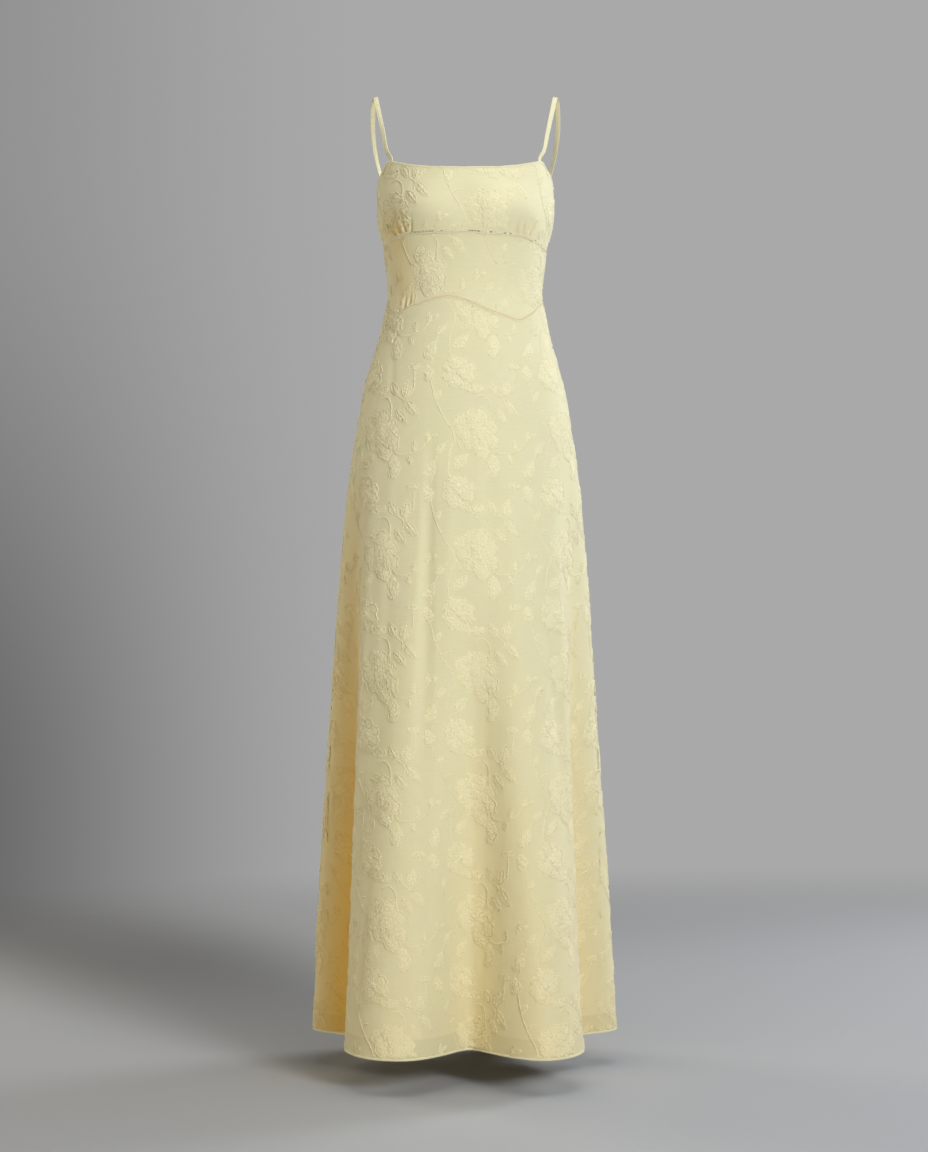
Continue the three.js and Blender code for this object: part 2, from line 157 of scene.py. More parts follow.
# Soft creases of the cloth: a place at each end, depth (minus is a trough) and half width in millimetres.
Crease = namedtuple("Crease", "angle z end_angle end_z depth width")
CREASES = [Crease(*row) for row in (
    (-23, -470, -20, -1100, -4.2, 16),
    (-9, -520, -12, -900, 1.6, 18),
    (17, -430, 15, -820, -1.6, 18),
    (30, -560, 27, -1000, 1.8, 20),
    (-46, -500, -49, -1180, 1.5, 18),
    (47, -620, 50, -1150, -2.0, 16),
    (16, -880, 13, -1385, -2.0, 18),
    (-42, -1080, -43, -1395, -1.8, 14),
    (-20, -1060, -17, -1390, -2.2, 16),
    (52, -1080, 54, -1390, -1.8, 14),
    (-58, -380, -50, -470, -1.2, 9),
    (52, -352, 70, -385, -1.3, 7),
    (44, -349, 62, -372, -0.9, 6),
    (60, -250, 78, -285, -0.9, 7),
    (45, -278, 66, -300, -0.9, 6),
    (-78, -262, -62, -292, -0.9, 7),
    (88, -900, 99, -960, -1.6, 9),
    (88, -1010, 98, -1075, -1.8, 10),
    (87, -1120, 97, -1175, -1.6, 9),
    (-97, -930, -88, -1010, -1.6, 10),
    (146, -470, 150, -900, -1.8, 18),
    (-150, -520, -148, -1000, -2.0, 18),
    (179, -450, 181, -760, -1.5, 18),
    (112, -640, 110, -1050, 1.6, 16),
    (-118, -600, -116, -1080, 1.8, 16),
    (130, -345, 112, -380, -1.0, 7),
    (-128, -345, -110, -375, -1.0, 7),
    (150, -262, 128, -290, -0.9, 7),
)]

# Places beside gathers and tucks, lying in shade, where golden shade is painted on the cloth.
ShadePatch = namedtuple("ShadePatch", "angle z span reach gold")
SHADE_PATCHES = [ShadePatch(*row) for row in (
    (-62, -222, 24, 60, 0.35),
    (-60, -285, 20, 55, 0.28),
)]
# How much golden shade is painted in a gather for each millimetre of its depth, from this height above the
# trim.
PINCH_SHADE = 0.1
PINCH_SHADE_FROM = -1

# More of the painted golden shade lies on the skirt from here down to its hem.
LOW_SHADE_START = -650
LOW_SHADE = 0.16

# Grooves where panels are sewn together: depth and half width.
BUST_GROOVE = (0.5, 2.2)
MIDRIFF_GROOVE = (0.08, 1.5)
SKIRT_GROOVE = (0.25, 2.5)

# Edges and seams: heights at angles round the form. The left half of the top edge mirrors the right one.
Edge = namedtuple("Edge", "angle z")
TOP_HALF = [Edge(*row) for row in (
    (0, -121.5), (28, -119.8), (43, -115.5), (55, -110), (64, -105), (68.5, -105), (72, -114),
    (80, -123), (85, -129), (90, -134), (98, -141), (111, -150), (140, -155), (180, -156),
)]
TOP_EDGE = [Edge(-e.angle, e.z) for e in TOP_HALF[:0:-1]] + TOP_HALF
UNDERBUST = [Edge(*row) for row in (
    (-180, -230), (-90, -228.5), (-75, -226.5), (-65, -222), (-50, -216.3), (-30, -215.6), (0, -215.3),
    (30, -217.6), (50, -219.2), (60, -223.5), (72, -229.5), (90, -231), (180, -230),
)]
WAIST = [Edge(*row) for row in (
    (-180, -312), (-90, -311), (-76, -319), (-66, -328.5), (-60, -330.3), (-51, -322.5), (-41, -318),
    (-33, -313.8), (-24.5, -309.7), (-14, -308.2), (0, -313.4), (12, -321.3), (21, -327.8),
    (33, -334.7), (41, -339.6), (48, -342), (59, -332.5), (75, -315), (90, -310.5), (180, -312),
)]

# Degrees to each side of a place between which its outward normal is taken.
NORMAL_STEP = 0.25


def smooth_value(table, key, column, at):
    """Smooth value of a table's column at places along its key column, with the ends held."""
    keys = np.array([getattr(row, key) for row in table], float)
    values = np.array([getattr(row, column) for row in table], float)
    if keys[0] > keys[-1]:
        keys, values = keys[::-1], values[::-1]
    before = np.r_[0, np.arange(len(keys) - 1)]
    after = np.r_[np.arange(1, len(keys)), len(keys) - 1]
    slopes = (values[after] - values[before]) / (keys[after] - keys[before])
    at = np.clip(np.asarray(at, float), keys[0], keys[-1])
    i = np.clip(np.searchsorted(keys, at) - 1, 0, len(keys) - 2)
    step = keys[i + 1] - keys[i]
    t = (at - keys[i]) / step
    rise = 3 * t**2 - 2 * t**3
    value = values[i] + (values[i + 1] - values[i]) * rise
    return value + t * (1 - t) ** 2 * step * slopes[i] + t**2 * (t - 1) * step * slopes[i + 1]


def bump(distance, span):
    """Soft bump that is 1 in the middle and 0 at its span."""
    share = np.clip(np.abs(distance / span), 0, 1)
    return np.cos(np.pi / 2 * share) ** 2


def apart(a, b):
    """Signed difference of two angles, from -180 to 180 degrees."""
    return (a - b + 180) % 360 - 180


def fold_place(fold, z, root_span):
    """Drop along a fold at heights, from 0 to 1, and the fold's middle and half width there."""
    drop = np.clip((fold.start - z) / (fold.start - HEM_Z), 0, 1)
    middle = fold.root + (fold.angle - fold.root) * drop
    return drop, middle, fold.span * (root_span + (1 - root_span) * drop)


def form_radius(angle, z):
    """Distance of the cloth from the axis, without gathers, tucks and creases."""
    half = smooth_value(SECTIONS, "z", "half", z)
    depth_front = smooth_value(SECTIONS, "z", "front", z)
    depth_back = smooth_value(SECTIONS, "z", "back", z)
    turn = np.radians(angle)
    across = np.abs(np.sin(turn)) / half
    deep = np.abs(np.cos(turn)) / np.where(np.cos(turn) > 0, depth_front, depth_back)
    radius = (across**OVAL + deep**OVAL) ** (-1 / OVAL)
    for side in (-1, 1):
        cup = bump(apart(angle, side * CUP_ANGLE), CUP_SPAN) * bump(z - CUP_Z, CUP_REACH)
        radius = radius + CUP_DEPTH * cup
    for fold in FOLDS:
        drop, middle, span = fold_place(fold, z, FOLD_ROOT_SPAN)
        radius = radius + fold.depth * drop**fold.swell * bump(apart(angle, middle), span)
    return radius


def fold_gold(angle, z):
    """Strength of the painted golden shade at places on the form, in folds, gathers, tucks and low on the
    skirt, from 0 to 1.
    """
    gold = 0.0
    for fold in FOLDS:
        drop, middle, span = fold_place(fold, z, SHADE_ROOT_SPAN)
        aside = apart(angle, middle + fold.gold_aside)
        gold = gold + fold.gold * drop**fold.gold_swell * bump(aside, span)
    for pinches, seam in ((GATHERS, underbust_seam), (TUCKS, waist_seam)):
        height = z - seam(angle) - TRIM_HALF
        gold = gold + np.where(height > PINCH_SHADE_FROM, pinched(pinches, angle, height) * PINCH_SHADE, 0)
    gold = gold + LOW_SHADE * np.clip((LOW_SHADE_START - z) / (LOW_SHADE_START - HEM_Z), 0, 1)
    for patch in SHADE_PATCHES:
        beside = bump(apart(angle, patch.angle), patch.span)
        gold = gold + patch.gold * beside * bump(z - patch.z, patch.reach)
    return np.clip(gold, 0, 1)


def level_point(angle, z):
    """Point of the level section at an angle, as x and y."""
    radius = form_radius(angle, z)
    turn = np.radians(angle)
    return smooth_value(SECTIONS, "z", "sway", z) + radius * np.sin(turn), -radius * np.cos(turn)


def on_form(angle, z, out=0.0):
    """Points of the form at angles and heights, moved out along the level section's normal."""
    angle, z = np.broadcast_arrays(np.asarray(angle, float), np.asarray(z, float))
    x, y = level_point(angle, z)
    x1, y1 = level_point(angle + NORMAL_STEP, z)
    x0, y0 = level_point(angle - NORMAL_STEP, z)
    length = np.hypot(x1 - x0, y1 - y0)
    return np.stack([x + (y1 - y0) / length * out, y - (x1 - x0) / length * out, z], -1)


def outward(angle, z):
    """Outward unit normal of the level section."""
    return on_form(angle, z, 1.0) - on_form(angle, z, 0.0)


def one_turn(angle):
    """The angle within one turn, from -180 to 180 degrees."""
    return (np.asarray(angle, float) + 180) % 360 - 180


def top_edge(angle):
    """Height of the neck and back edge."""
    return np.interp(one_turn(angle), [e.angle for e in TOP_EDGE], [e.z for e in TOP_EDGE])


def underbust_seam(angle):
    """Height of the seam under the bust."""
    return smooth_value(UNDERBUST, "angle", "z", one_turn(angle))


def waist_seam(angle):
    """Height of the seam between midriff and skirt."""
    return smooth_value(WAIST, "angle", "z", one_turn(angle))


def pinched(pinches, angle, height):
    """Depth of gathers or tucks at places a given height above their seam."""
    depth = 0.0
    for p in pinches:
        t = np.clip(height / p.height, 0, 1)
        depth = depth + p.depth * bump(t, 1.0) * bump(apart(angle, p.foot + (p.tip - p.foot) * t), p.span)
    return depth


def creased(angle, z):
    """Height of the soft creases at places on the form."""
    lift = 0.0
    for c in CREASES:
        radius = float(form_radius((c.angle + c.end_angle) / 2, (c.z + c.end_z) / 2))
        per_degree = math.radians(1) * radius
        run = np.array([(c.end_angle - c.angle) * per_degree, c.end_z - c.z])
        across = apart(angle, c.angle) * per_degree
        t = np.clip((across * run[0] + (z - c.z) * run[1]) / (run @ run), 0, 1)
        off = np.hypot(across - t * run[0], z - c.z - t * run[1])
        lift = lift + c.depth * bump(off, c.width) * bump(t * 2 - 1, CREASE_FADE)
    return lift


def seam_groove(angle, z, seams, depth, width):
    """Shallow groove where two panels are sewn together along a line of one angle."""
    lift = 0.0
    for seam in seams:
        off = apart(angle, seam) * math.radians(1) * form_radius(angle, z)
        lift = lift - depth * bump(off, width)
    return lift


def bust_relief(angle, z):
    """Height of the bust's creases, gathers and side seams."""
    gathers = pinched(GATHERS, angle, z - underbust_seam(angle) - TRIM_HALF)
    return creased(angle, z) - gathers + seam_groove(angle, z, (-SIDE, SIDE), *BUST_GROOVE)


def midriff_relief(angle, z):
    """Height of the midriff's creases, tucks, side seams and princess seams."""
    tucks = pinched(TUCKS, angle, z - waist_seam(angle) - TRIM_HALF)
    seams = (-SIDE, PRINCESS_LEFT, PRINCESS_RIGHT, SIDE)
    return creased(angle, z) - tucks + seam_groove(angle, z, seams, *MIDRIFF_GROOVE)


def skirt_relief(angle, z):
    """Height of the skirt's creases and side seams."""
    return creased(angle, z) + seam_groove(angle, z, (-SIDE, SIDE), *SKIRT_GROOVE)


class FlatCloth:
    """Flat coordinates of one half of the dress: u runs round from its middle and v down from the straps."""

    # Degrees to each side of the middle and their step, the top of the grid and the height of its rows.
    REACH = 96
    ANGLE_STEP = 0.5
    TOP = -92
    Z_STEP = 8.0

    def __init__(self, middle):
        self.angles = middle + np.arange(-self.REACH, self.REACH + 0.01, self.ANGLE_STEP)
        self.heights = np.arange(self.TOP, HEM_Z - 3 * self.Z_STEP, -self.Z_STEP)
        grid = on_form(self.angles[None, :], self.heights[:, None])
        steps = np.linalg.norm(np.diff(grid, axis=1), axis=2)
        arcs = np.concatenate([np.zeros((len(self.heights), 1)), np.cumsum(steps, axis=1)], axis=1)
        self.arcs = arcs - arcs[:, [len(self.angles) // 2]]

    def row_at(self, z):
        """Row of the grid at heights, with its fraction."""
        return np.clip((self.heights[0] - z) / self.Z_STEP, 0, len(self.heights) - 1.001)

    def place(self, u, v):
        """Angle and height of flat points."""
        z = -np.asarray(v, float)
        row = self.row_at(z)
        low = row.astype(int)
        angle = np.empty_like(z)
        for k in np.unique(low):
            here = low == k
            share = row[here] - k
            above = np.interp(u[here], self.arcs[k], self.angles)
            below = np.interp(u[here], self.arcs[k + 1], self.angles)
            angle[here] = above * (1 - share) + below * share
        return angle, z

    def flatten(self, angle, z):
        """Flat coordinates of places on the form."""
        row = self.row_at(z)
        column = np.clip((angle - self.angles[0]) / self.ANGLE_STEP, 0, len(self.angles) - 1.001)
        r, c = row.astype(int), column.astype(int)
        fr, fc = row - r, column - c
        top = self.arcs[r, c] * (1 - fc) + self.arcs[r, c + 1] * fc
        low = self.arcs[r + 1, c] * (1 - fc) + self.arcs[r + 1, c + 1] * fc
        return top * (1 - fr) + low * fr, -z


FRONT = FlatCloth(0.0)
BACK = FlatCloth(180.0)

# Openwork ladder in a seam: the lower and upper height of its slot from the seam's line, the distance between
# its bars, half a bar's width, the share of its holes without a net, and the spans of angles with no net.
Ladder = namedtuple("Ladder", "slot pitch bar open_share open_spans")
UNDERBUST_LADDER = Ladder((0.1, 1.7), 4.5, 1.35, 0.08, ((-46, -25), (3, 8), (36, 38)))
WAIST_LADDER = Ladder((-0.5, 0.5), 3.6, 1.1, 0.03, ())
# How far the panels and the bars reach in under the rails of a trim.
TUCK_IN = 0.5


def under_rail(seam, slot, tuck):
    """Edge of a panel that reaches in under a rail of the trim in a seam."""
    return lambda angle: seam(angle) + slot + tuck


def level(z):
    """Level edge at a height."""
    return lambda angle: z + 0 * angle


bust_foot = under_rail(underbust_seam, UNDERBUST_LADDER.slot[1], TUCK_IN)
midriff_head = under_rail(underbust_seam, UNDERBUST_LADDER.slot[0], -TUCK_IN)
midriff_foot = under_rail(waist_seam, WAIST_LADDER.slot[1], TUCK_IN)
skirt_head = under_rail(waist_seam, WAIST_LADDER.slot[0], -TUCK_IN)
hem_line = level(HEM_Z)
lining_hem = level(LINING_HEM_Z)

# A panel of cloth: its node, its half of the dress, its side edges, its top and bottom edge, its relief, and
# the degrees between the columns and the number of rows of its mesh.
Panel = namedtuple("Panel", "name flat start end top bottom relief step rows")
PANEL_LIST = (
    Panel("bust_front", FRONT, -SIDE, SIDE, top_edge, bust_foot, bust_relief, 0.6, 46),
    Panel("bust_back", BACK, SIDE, 360 - SIDE, top_edge, underbust_seam, bust_relief, 1.5, 24),
    Panel("midriff_left", FRONT, -SIDE, PRINCESS_LEFT, midriff_head, midriff_foot, midriff_relief, 0.6, 34),
    Panel("midriff_centre", FRONT, PRINCESS_LEFT, PRINCESS_RIGHT, midriff_head, midriff_foot,
          midriff_relief, 1.0, 34),
    Panel("midriff_right", FRONT, PRINCESS_RIGHT, SIDE, midriff_head, midriff_foot, midriff_relief, 1.0, 34),
    Panel("midriff_back", BACK, SIDE, 360 - SIDE, underbust_seam, waist_seam, midriff_relief, 1.5, 26),
    Panel("skirt_front", FRONT, -SIDE, SIDE, skirt_head, hem_line, skirt_relief, 1.2, 120),
    Panel("skirt_back", BACK, SIDE, 360 - SIDE, waist_seam, hem_line, skirt_relief, 1.2, 120),
)
PANELS = {panel.name: panel for panel in PANEL_LIST}

# ---- Settings ----


def linear(hex_colour):
    """Linear colour of an sRGB hex value."""
    channels = [int(hex_colour[i : i + 2], 16) / 255 for i in (1, 3, 5)]
    return tuple(c / 12.92 if c <= 0.04045 else ((c + 0.055) / 1.055) ** 2.4 for c in channels)


def colour_property(name, description, hex_colour):
    """Setting of a colour."""
    return bpy.props.FloatVectorProperty(
        name=name, description=description, subtype="COLOR", size=3, min=0, max=1, default=linear(hex_colour)
    )


def length_property(name, description, millimetres):
    """Setting of a length."""
    return bpy.props.FloatProperty(
        name=name, description=description, subtype="DISTANCE", unit="LENGTH", min=0, default=millimetres * MM
    )


class DressSizes(bpy.types.PropertyGroup):
    """Sizes that a maker would change."""

    cloth: length_property("Cloth", "Thickness of the sheer cloth with its crepe", 0.5)
    figure_height: length_property("Figure height", "How far the woven figure stands off the cloth", 0.8)
    figure_width: length_property("Figure repeat width", "Width of one repeat of the figure", 148)
    figure_drop: length_property("Figure repeat height", "Height of one repeat of the figure", 176)
    stitch_pitch: length_property("Stitch pitch", "Distance between two stitches", 3.2)
    hem_roll: length_property("Hem roll", "Height of the rolled hem", 3.6)
    floor_drop: length_property("Floor drop", "Distance of the floor below the hem", 52)


class DressColours(bpy.types.PropertyGroup):
    """Colours of the dress and of the stage."""

    ground: colour_property("Ground", "Sheer ground of the cloth", "#efeac2")
    figure: colour_property("Figure", "Raised figure of the cloth", "#f8f2cb")
    lining: colour_property("Lining", "Plain lining", "#ebe1ae")
    # Golden shade painted in the bottoms of folds, gathers and tucks, for shade and for light that passes
    # through more cloth.
    shade: colour_property("Fold shade", "Golden tone at the bottoms of the folds", "#f4c75e")
    web: colour_property("Underbust net", "Fine net in the holes of the underbust trim", "#fbf2d0")
    # The waist net's deeper colour is painted shade inside the trim's holes.
    waist_web: colour_property("Waist net", "Fine net in the holes of the waist trim", "#eed29e")
    thread: colour_property("Thread", "Ladder trims, binding and stitches", "#f4edcb")
    floor: colour_property("Floor", "Floor of the stage", "#babdc2")
    wall: colour_property("Wall", "Light and colour behind the stage", "#a9a9a9")


def sizes():
    """Sizes as they are set now."""
    return bpy.context.scene.dress_sizes


def colours():
    """Colours as they are set now."""
    return bpy.context.scene.dress_colours


# ---- Materials ----


def add_node(tree, kind, inputs=None, **settings):
    """Adds a node. Settings are its own fields, and each input takes a value or another node's output."""
    node = tree.nodes.new(kind)
    for field, value in settings.items():
        setattr(node, field, value)
    for socket, value in (inputs or {}).items():
        if isinstance(value, bpy.types.NodeSocket):
            tree.links.new(value, node.inputs[socket])
        else:
            node.inputs[socket].default_value = value
    return node


def empty_material(name):
    """Material with that name and no nodes, and its node tree."""
    material = bpy.data.materials.get(name) or bpy.data.materials.new(name)
    material.use_nodes = True
    material.node_tree.nodes.clear()
    return material, material.node_tree


def tint(colour, factor):
    """The colour made darker or lighter, with its alpha."""
    return (*[min(c * factor, 1) for c in colour], 1)


# Share of the painted golden shade at the bottom of the deepest fold, and of the clouds over all cloth and
# thread.
FOLD_SHADE_SHARE = 0.95
CLOUD_SHARE = 0.10

# Slubs of the cloth's yarn: length and width. Clouds of tone: their size. Fuzz of the thread: its size.
SLUB_LONG = 16
SLUB_WIDE = 2.6
CLOUD_SIZE = 45
FUZZ_SIZE = 1.2

# How much the chiffon hides over the lining and in the hem band, and the height over which that changes.
CHIFFON_ALPHA = 0.97
HEM_BAND_ALPHA = 0.88
ALPHA_FADE = 4


def matt_surface(tree, tone, cloud, raised, roughness, sheen):
    """Matt surface of yarn, with faint clouds of tone and painted golden shade in folds, gathers and tucks,
    for shade and for light that passes through more cloth.
    """
    clouded = add_node(tree, "ShaderNodeMix", {
        "Factor": CLOUD_SHARE, "A": tone.outputs["Result"], "B": cloud.outputs["Color"]
    }, data_type="RGBA", blend_type="SOFT_LIGHT")
    depth = add_node(tree, "ShaderNodeAttribute", attribute_name="fold_gold")
    share = add_node(tree, "ShaderNodeMath", {0: depth.outputs["Fac"], 1: FOLD_SHADE_SHARE}, operation="MULTIPLY")
    # Mixes the painted golden shade into the tone.
    golden = add_node(tree, "ShaderNodeMix", {
        "Factor": share.outputs["Value"], "A": clouded.outputs["Result"], "B": tint(colours().shade, 1)
    }, data_type="RGBA")
    shader = add_node(tree, "ShaderNodeBsdfPrincipled", {
        "Base Color": golden.outputs["Result"], "Roughness": roughness, "IOR": 1.5,
        "Specular IOR Level": 0.2, "Sheen Weight": sheen, "Sheen Roughness": 0.5,
        "Normal": raised.outputs["Normal"]
    })
    add_node(tree, "ShaderNodeOutputMaterial", {"Surface": shader.outputs["BSDF"]})
    return shader


def cloth_material(name, colour, crepe_mm, crepe_height, roughness, sheen, sheer=False):
    """Woven cloth on its flat coordinates: slubs along the thread, faint clouds of tone and a crepe surface.

    Sheer cloth hides less below the lining's hem than above it.
    """
    material, tree = empty_material(name)
    flat = add_node(tree, "ShaderNodeUVMap", uv_map="cloth").outputs["UV"]
    slub_map = add_node(tree, "ShaderNodeMapping", {
        "Vector": flat, "Scale": (1 / (SLUB_LONG * MM), 1 / (SLUB_WIDE * MM), 1)
    })
    slubs = add_node(tree, "ShaderNodeTexNoise", {
        "Vector": slub_map.outputs["Vector"], "Scale": 1, "Detail": 3, "Roughness": 0.6
    })
    cloud = add_node(tree, "ShaderNodeTexNoise", {
        "Vector": flat, "Scale": 1 / (CLOUD_SIZE * MM), "Detail": 2
    })
    tone = add_node(tree, "ShaderNodeMix", {
        "Factor": slubs.outputs["Fac"], "A": tint(colour, 0.95), "B": tint(colour, 1.05)
    }, data_type="RGBA")
    crepe = add_node(tree, "ShaderNodeTexNoise", {
        "Vector": flat, "Scale": 1 / (crepe_mm * MM), "Detail": 2, "Roughness": 0.7
    })
    raised = add_node(tree, "ShaderNodeBump", {
        "Height": crepe.outputs["Fac"], "Strength": 0.6, "Distance": crepe_height * MM
    })
    shader = matt_surface(tree, tone, cloud, raised, roughness, sheen)
    if sheer:
        drop = add_node(tree, "ShaderNodeSeparateXYZ", {"Vector": flat})
        alpha = add_node(tree, "ShaderNodeMapRange", {
            "Value": drop.outputs["Y"], "From Min": -LINING_HEM_Z * MM - ALPHA_FADE * MM,
            "From Max": -LINING_HEM_Z * MM, "To Min": CHIFFON_ALPHA, "To Max": HEM_BAND_ALPHA
        }, interpolation_type="SMOOTHSTEP")
        tree.links.new(alpha.outputs["Result"], shader.inputs["Alpha"])
    return material


def thread_material(name, colour, twist_mm, height_mm, roughness, shade=0.9):
    """Matt yarn on Object coordinates: rounded pebbles of thread, with shade painted darker between them and
    a little light on their tops.
    """
    material, tree = empty_material(name)
    place = add_node(tree, "ShaderNodeTexCoord").outputs["Object"]
    pebble = add_node(tree, "ShaderNodeTexVoronoi", {
        "Vector": place, "Scale": 1 / (twist_mm * MM), "Smoothness": 0.35
    }, feature="SMOOTH_F1")
    fuzz = add_node(tree, "ShaderNodeTexNoise", {"Vector": place, "Scale": 1 / (FUZZ_SIZE * MM), "Detail": 2})
    rise = add_node(tree, "ShaderNodeMapRange", {
        "Value": pebble.outputs["Distance"], "From Min": 0.15, "From Max": 0.75, "To Min": 1.0,
        "To Max": 0.0
    })
    # Painted shade: the tone is darker between the pebbles and a little lighter on their tops.
    tone = add_node(tree, "ShaderNodeMix", {
        "Factor": rise.outputs["Result"], "A": tint(colour, shade), "B": tint(colour, 1.03)
    }, data_type="RGBA")
    raised = add_node(tree, "ShaderNodeBump", {
        "Height": rise.outputs["Result"], "Strength": 1.0, "Distance": height_mm * MM
    })
    matt_surface(tree, tone, fuzz, raised, roughness, sheen=0.2)
    return material


def sheer_chiffon():
    """Polyester chiffon of crepe-twisted yarn: matt and faintly pebbled.

    Over the lining it hides nearly all, and in the hem band below the lining a little shows through it.
    """
    return cloth_material("sheer_chiffon", colours().ground, 1.8, 0.5, 0.7, 0.3, sheer=True)


def backed_chiffon():
    """The same chiffon laid on the bodice's lining, so that nothing shows through."""
    return cloth_material("backed_chiffon", colours().ground, 1.8, 0.5, 0.7, 0.3)


def lining_cloth():
    """Plain closely woven polyester lining: smoother and a little more yellow than the chiffon."""
    return cloth_material("plain_lining", colours().lining, 1.0, 0.2, 0.55, 0.15)


def figure_yarn():
    """Thick soft floats of the woven figure: puckered grains of 2.8 mm, slightly lighter than the ground."""
    return thread_material("figure_yarn", colours().figure, 2.8, 0.6, 0.75, shade=0.95)


def trim_thread():
    """Spun polyester thread of the ladder trims, binding and stitches: matt, with a fine twist."""
    return thread_material("trim_thread", colours().thread, 1.3, 0.3, 0.7)


def trim_net(name, colour):
    """Fine net of thread that closes most holes of a ladder trim; a deeper colour given to it is painted
    shade inside the holes.
    """
    return thread_material(name, colour, 0.9, 0.2, 0.8)


# ---- Pieces ----


def new_piece(name, points_mm, faces, material, slot, flat=None, gold=None):
    """A mesh object at the origin, riding on the dress.

    Its flat coordinates go in the map 'cloth', and the painted golden shade of its points in a point
    attribute.
    """
    mesh = bpy.data.meshes.new(name)
    mesh.from_pydata((np.asarray(points_mm) * MM).tolist(), [], [list(map(int, f)) for f in faces])
    if flat is not None:
        layer = mesh.uv_layers.new(name="cloth")
        corner = np.empty(len(mesh.loops), np.int64)
        mesh.loops.foreach_get("vertex_index", corner)
        layer.data.foreach_set("uv", (np.asarray(flat)[corner] * MM).astype(np.float32).ravel())
    if gold is not None:
        tone = mesh.attributes.new("fold_gold", "FLOAT", "POINT")
        tone.data.foreach_set("value", np.asarray(gold, np.float32))
    mesh.polygons.foreach_set("use_smooth", np.ones(len(mesh.polygons), bool))
    mesh.materials.append(material)
    mesh.validate()
    piece = bpy.data.objects.new(name, mesh)
    bpy.context.scene.collection.objects.link(piece)
    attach(piece, BODY)
    return piece


# Edges that turn by more than this are shaded as crisp edges.
RIM_ANGLE = math.radians(55)


def thicken(piece):
    """Gives a sheet the thickness of its cloth, inwards, with crisp rims."""
    bpy.ops.object.select_all(action="DESELECT")
    bpy.context.view_layer.objects.active = piece
    piece.select_set(True)
    wall = piece.modifiers.new("wall", "SOLIDIFY")
    wall.thickness = sizes().cloth
    wall.offset = -1
    bpy.ops.object.modifier_apply(modifier=wall.name)
    piece.data.set_sharp_from_angle(angle=RIM_ANGLE)


def grid_faces(wide, tall):
    """Quads of a grid of points [column][row] that face outwards when columns run round and rows run down."""
    column, row = np.meshgrid(np.arange(wide - 1), np.arange(tall - 1), indexing="ij")
    corner = (column * tall + row).ravel()
    return np.stack([corner, corner + 1, corner + tall + 1, corner + tall], 1)


def panel_piece(panel, material, slot, inset=None):
    """Thin shell of cloth over a panel's form. Inset tells how far off the form a panel inside it lies."""
    count = int(round((panel.end - panel.start) / panel.step)) + 1
    angle = np.linspace(panel.start, panel.end, count)[:, None]
    share = np.linspace(0, 1, panel.rows)[None, :]
    z = panel.top(angle) + (panel.bottom(angle) - panel.top(angle)) * share
    angle = np.broadcast_to(angle, z.shape)
    lift = panel.relief(angle, z)
    if inset:
        lift = lift + inset(panel, angle, z)
    points = on_form(angle, z, lift).reshape(-1, 3)
    flat = np.stack(panel.flat.flatten(angle, z), -1)
    piece = new_piece(f"{panel.name}_cloth", points, grid_faces(count, panel.rows), material, slot,
                      flat.reshape(-1, 2), fold_gold(angle, z).ravel())
    thicken(piece)
    return piece


def arc_lengths(line):
    """Length of a line of points up to each of them."""
    return np.r_[0, np.cumsum(np.linalg.norm(np.diff(line, axis=0), axis=1))]


def point_at(s, arc, line):
    """Point of a line at an arc length."""
    return np.array([np.interp(s, arc, line[:, k]) for k in range(3)])


def sweep(path, out, up, profile, closed):
    """Points and quads of a profile of (out, up) offsets, in order round it, swept along a path."""
    outs = out[:, None, :] * profile[None, :, [0]]
    ups = up[:, None, :] * profile[None, :, [1]]
    rings = path[:, None, :] + outs + ups
    count, sides = len(path), len(profile)
    faces = []
    for i in range(count if closed else count - 1):
        a, b = i * sides, (i + 1) % count * sides
        faces += [(a + k, a + (k + 1) % sides, b + (k + 1) % sides, b + k) for k in range(sides)]
    if not closed:
        faces.append(tuple(range(sides))[::-1])
        faces.append(tuple(range((count - 1) * sides, count * sides)))
    return rings.reshape(-1, 3), faces


def oval_profile(half_out, half_up, sides=8):
    """Points round an oval, as (out, up) offsets."""
    turn = np.linspace(0, 2 * np.pi, sides, endpoint=False)
    return np.stack([half_out * np.cos(turn), half_up * np.sin(turn)], 1)


UP = np.array([0.0, 0.0, 1.0])


def roll(height, relief, out, half_out, half_up, start=-180, end=180, step=1.0):
    """Points and faces of a roll of cloth or thread that follows the form at a height given by the angle."""
    closed = end - start == 360
    count = int(round((end - start) / step))
    angle = np.linspace(start, end, count + (0 if closed else 1), endpoint=not closed)
    z = height(angle)
    path = on_form(angle, z, out + relief(angle, z))
    profile = oval_profile(half_out, half_up)
    return sweep(path, outward(angle, z), np.tile(UP, (len(path), 1)), profile, closed)


def join_parts(parts):
    """One set of points and faces from several."""
    points, faces, count = [], [], 0
    for part_points, part_faces in parts:
        points.append(np.asarray(part_points))
        faces += [tuple(i + count for i in face) for face in part_faces]
        count += len(part_points)
    return np.concatenate(points), faces


# A running stitch, as a small lens: its length, half width and height, its points as shares of these
# along, across and up, and the faces between them.
STITCH_LONG = 2.1
STITCH_HALF = 0.38
STITCH_HIGH = 0.22
STITCH_POINTS = (
    (-0.5, 0, -0.1), (-0.25, 1, 0), (-0.25, 0, 1), (-0.25, -1, 0),
    (0.25, 1, 0), (0.25, 0, 1), (0.25, -1, 0), (0.5, 0, -0.1),
)
STITCH_FACES = (
    (0, 2, 1), (0, 3, 2), (1, 2, 5, 4), (2, 3, 6, 5), (4, 5, 7), (5, 6, 7), (0, 1, 4, 7), (0, 7, 6, 3),
)


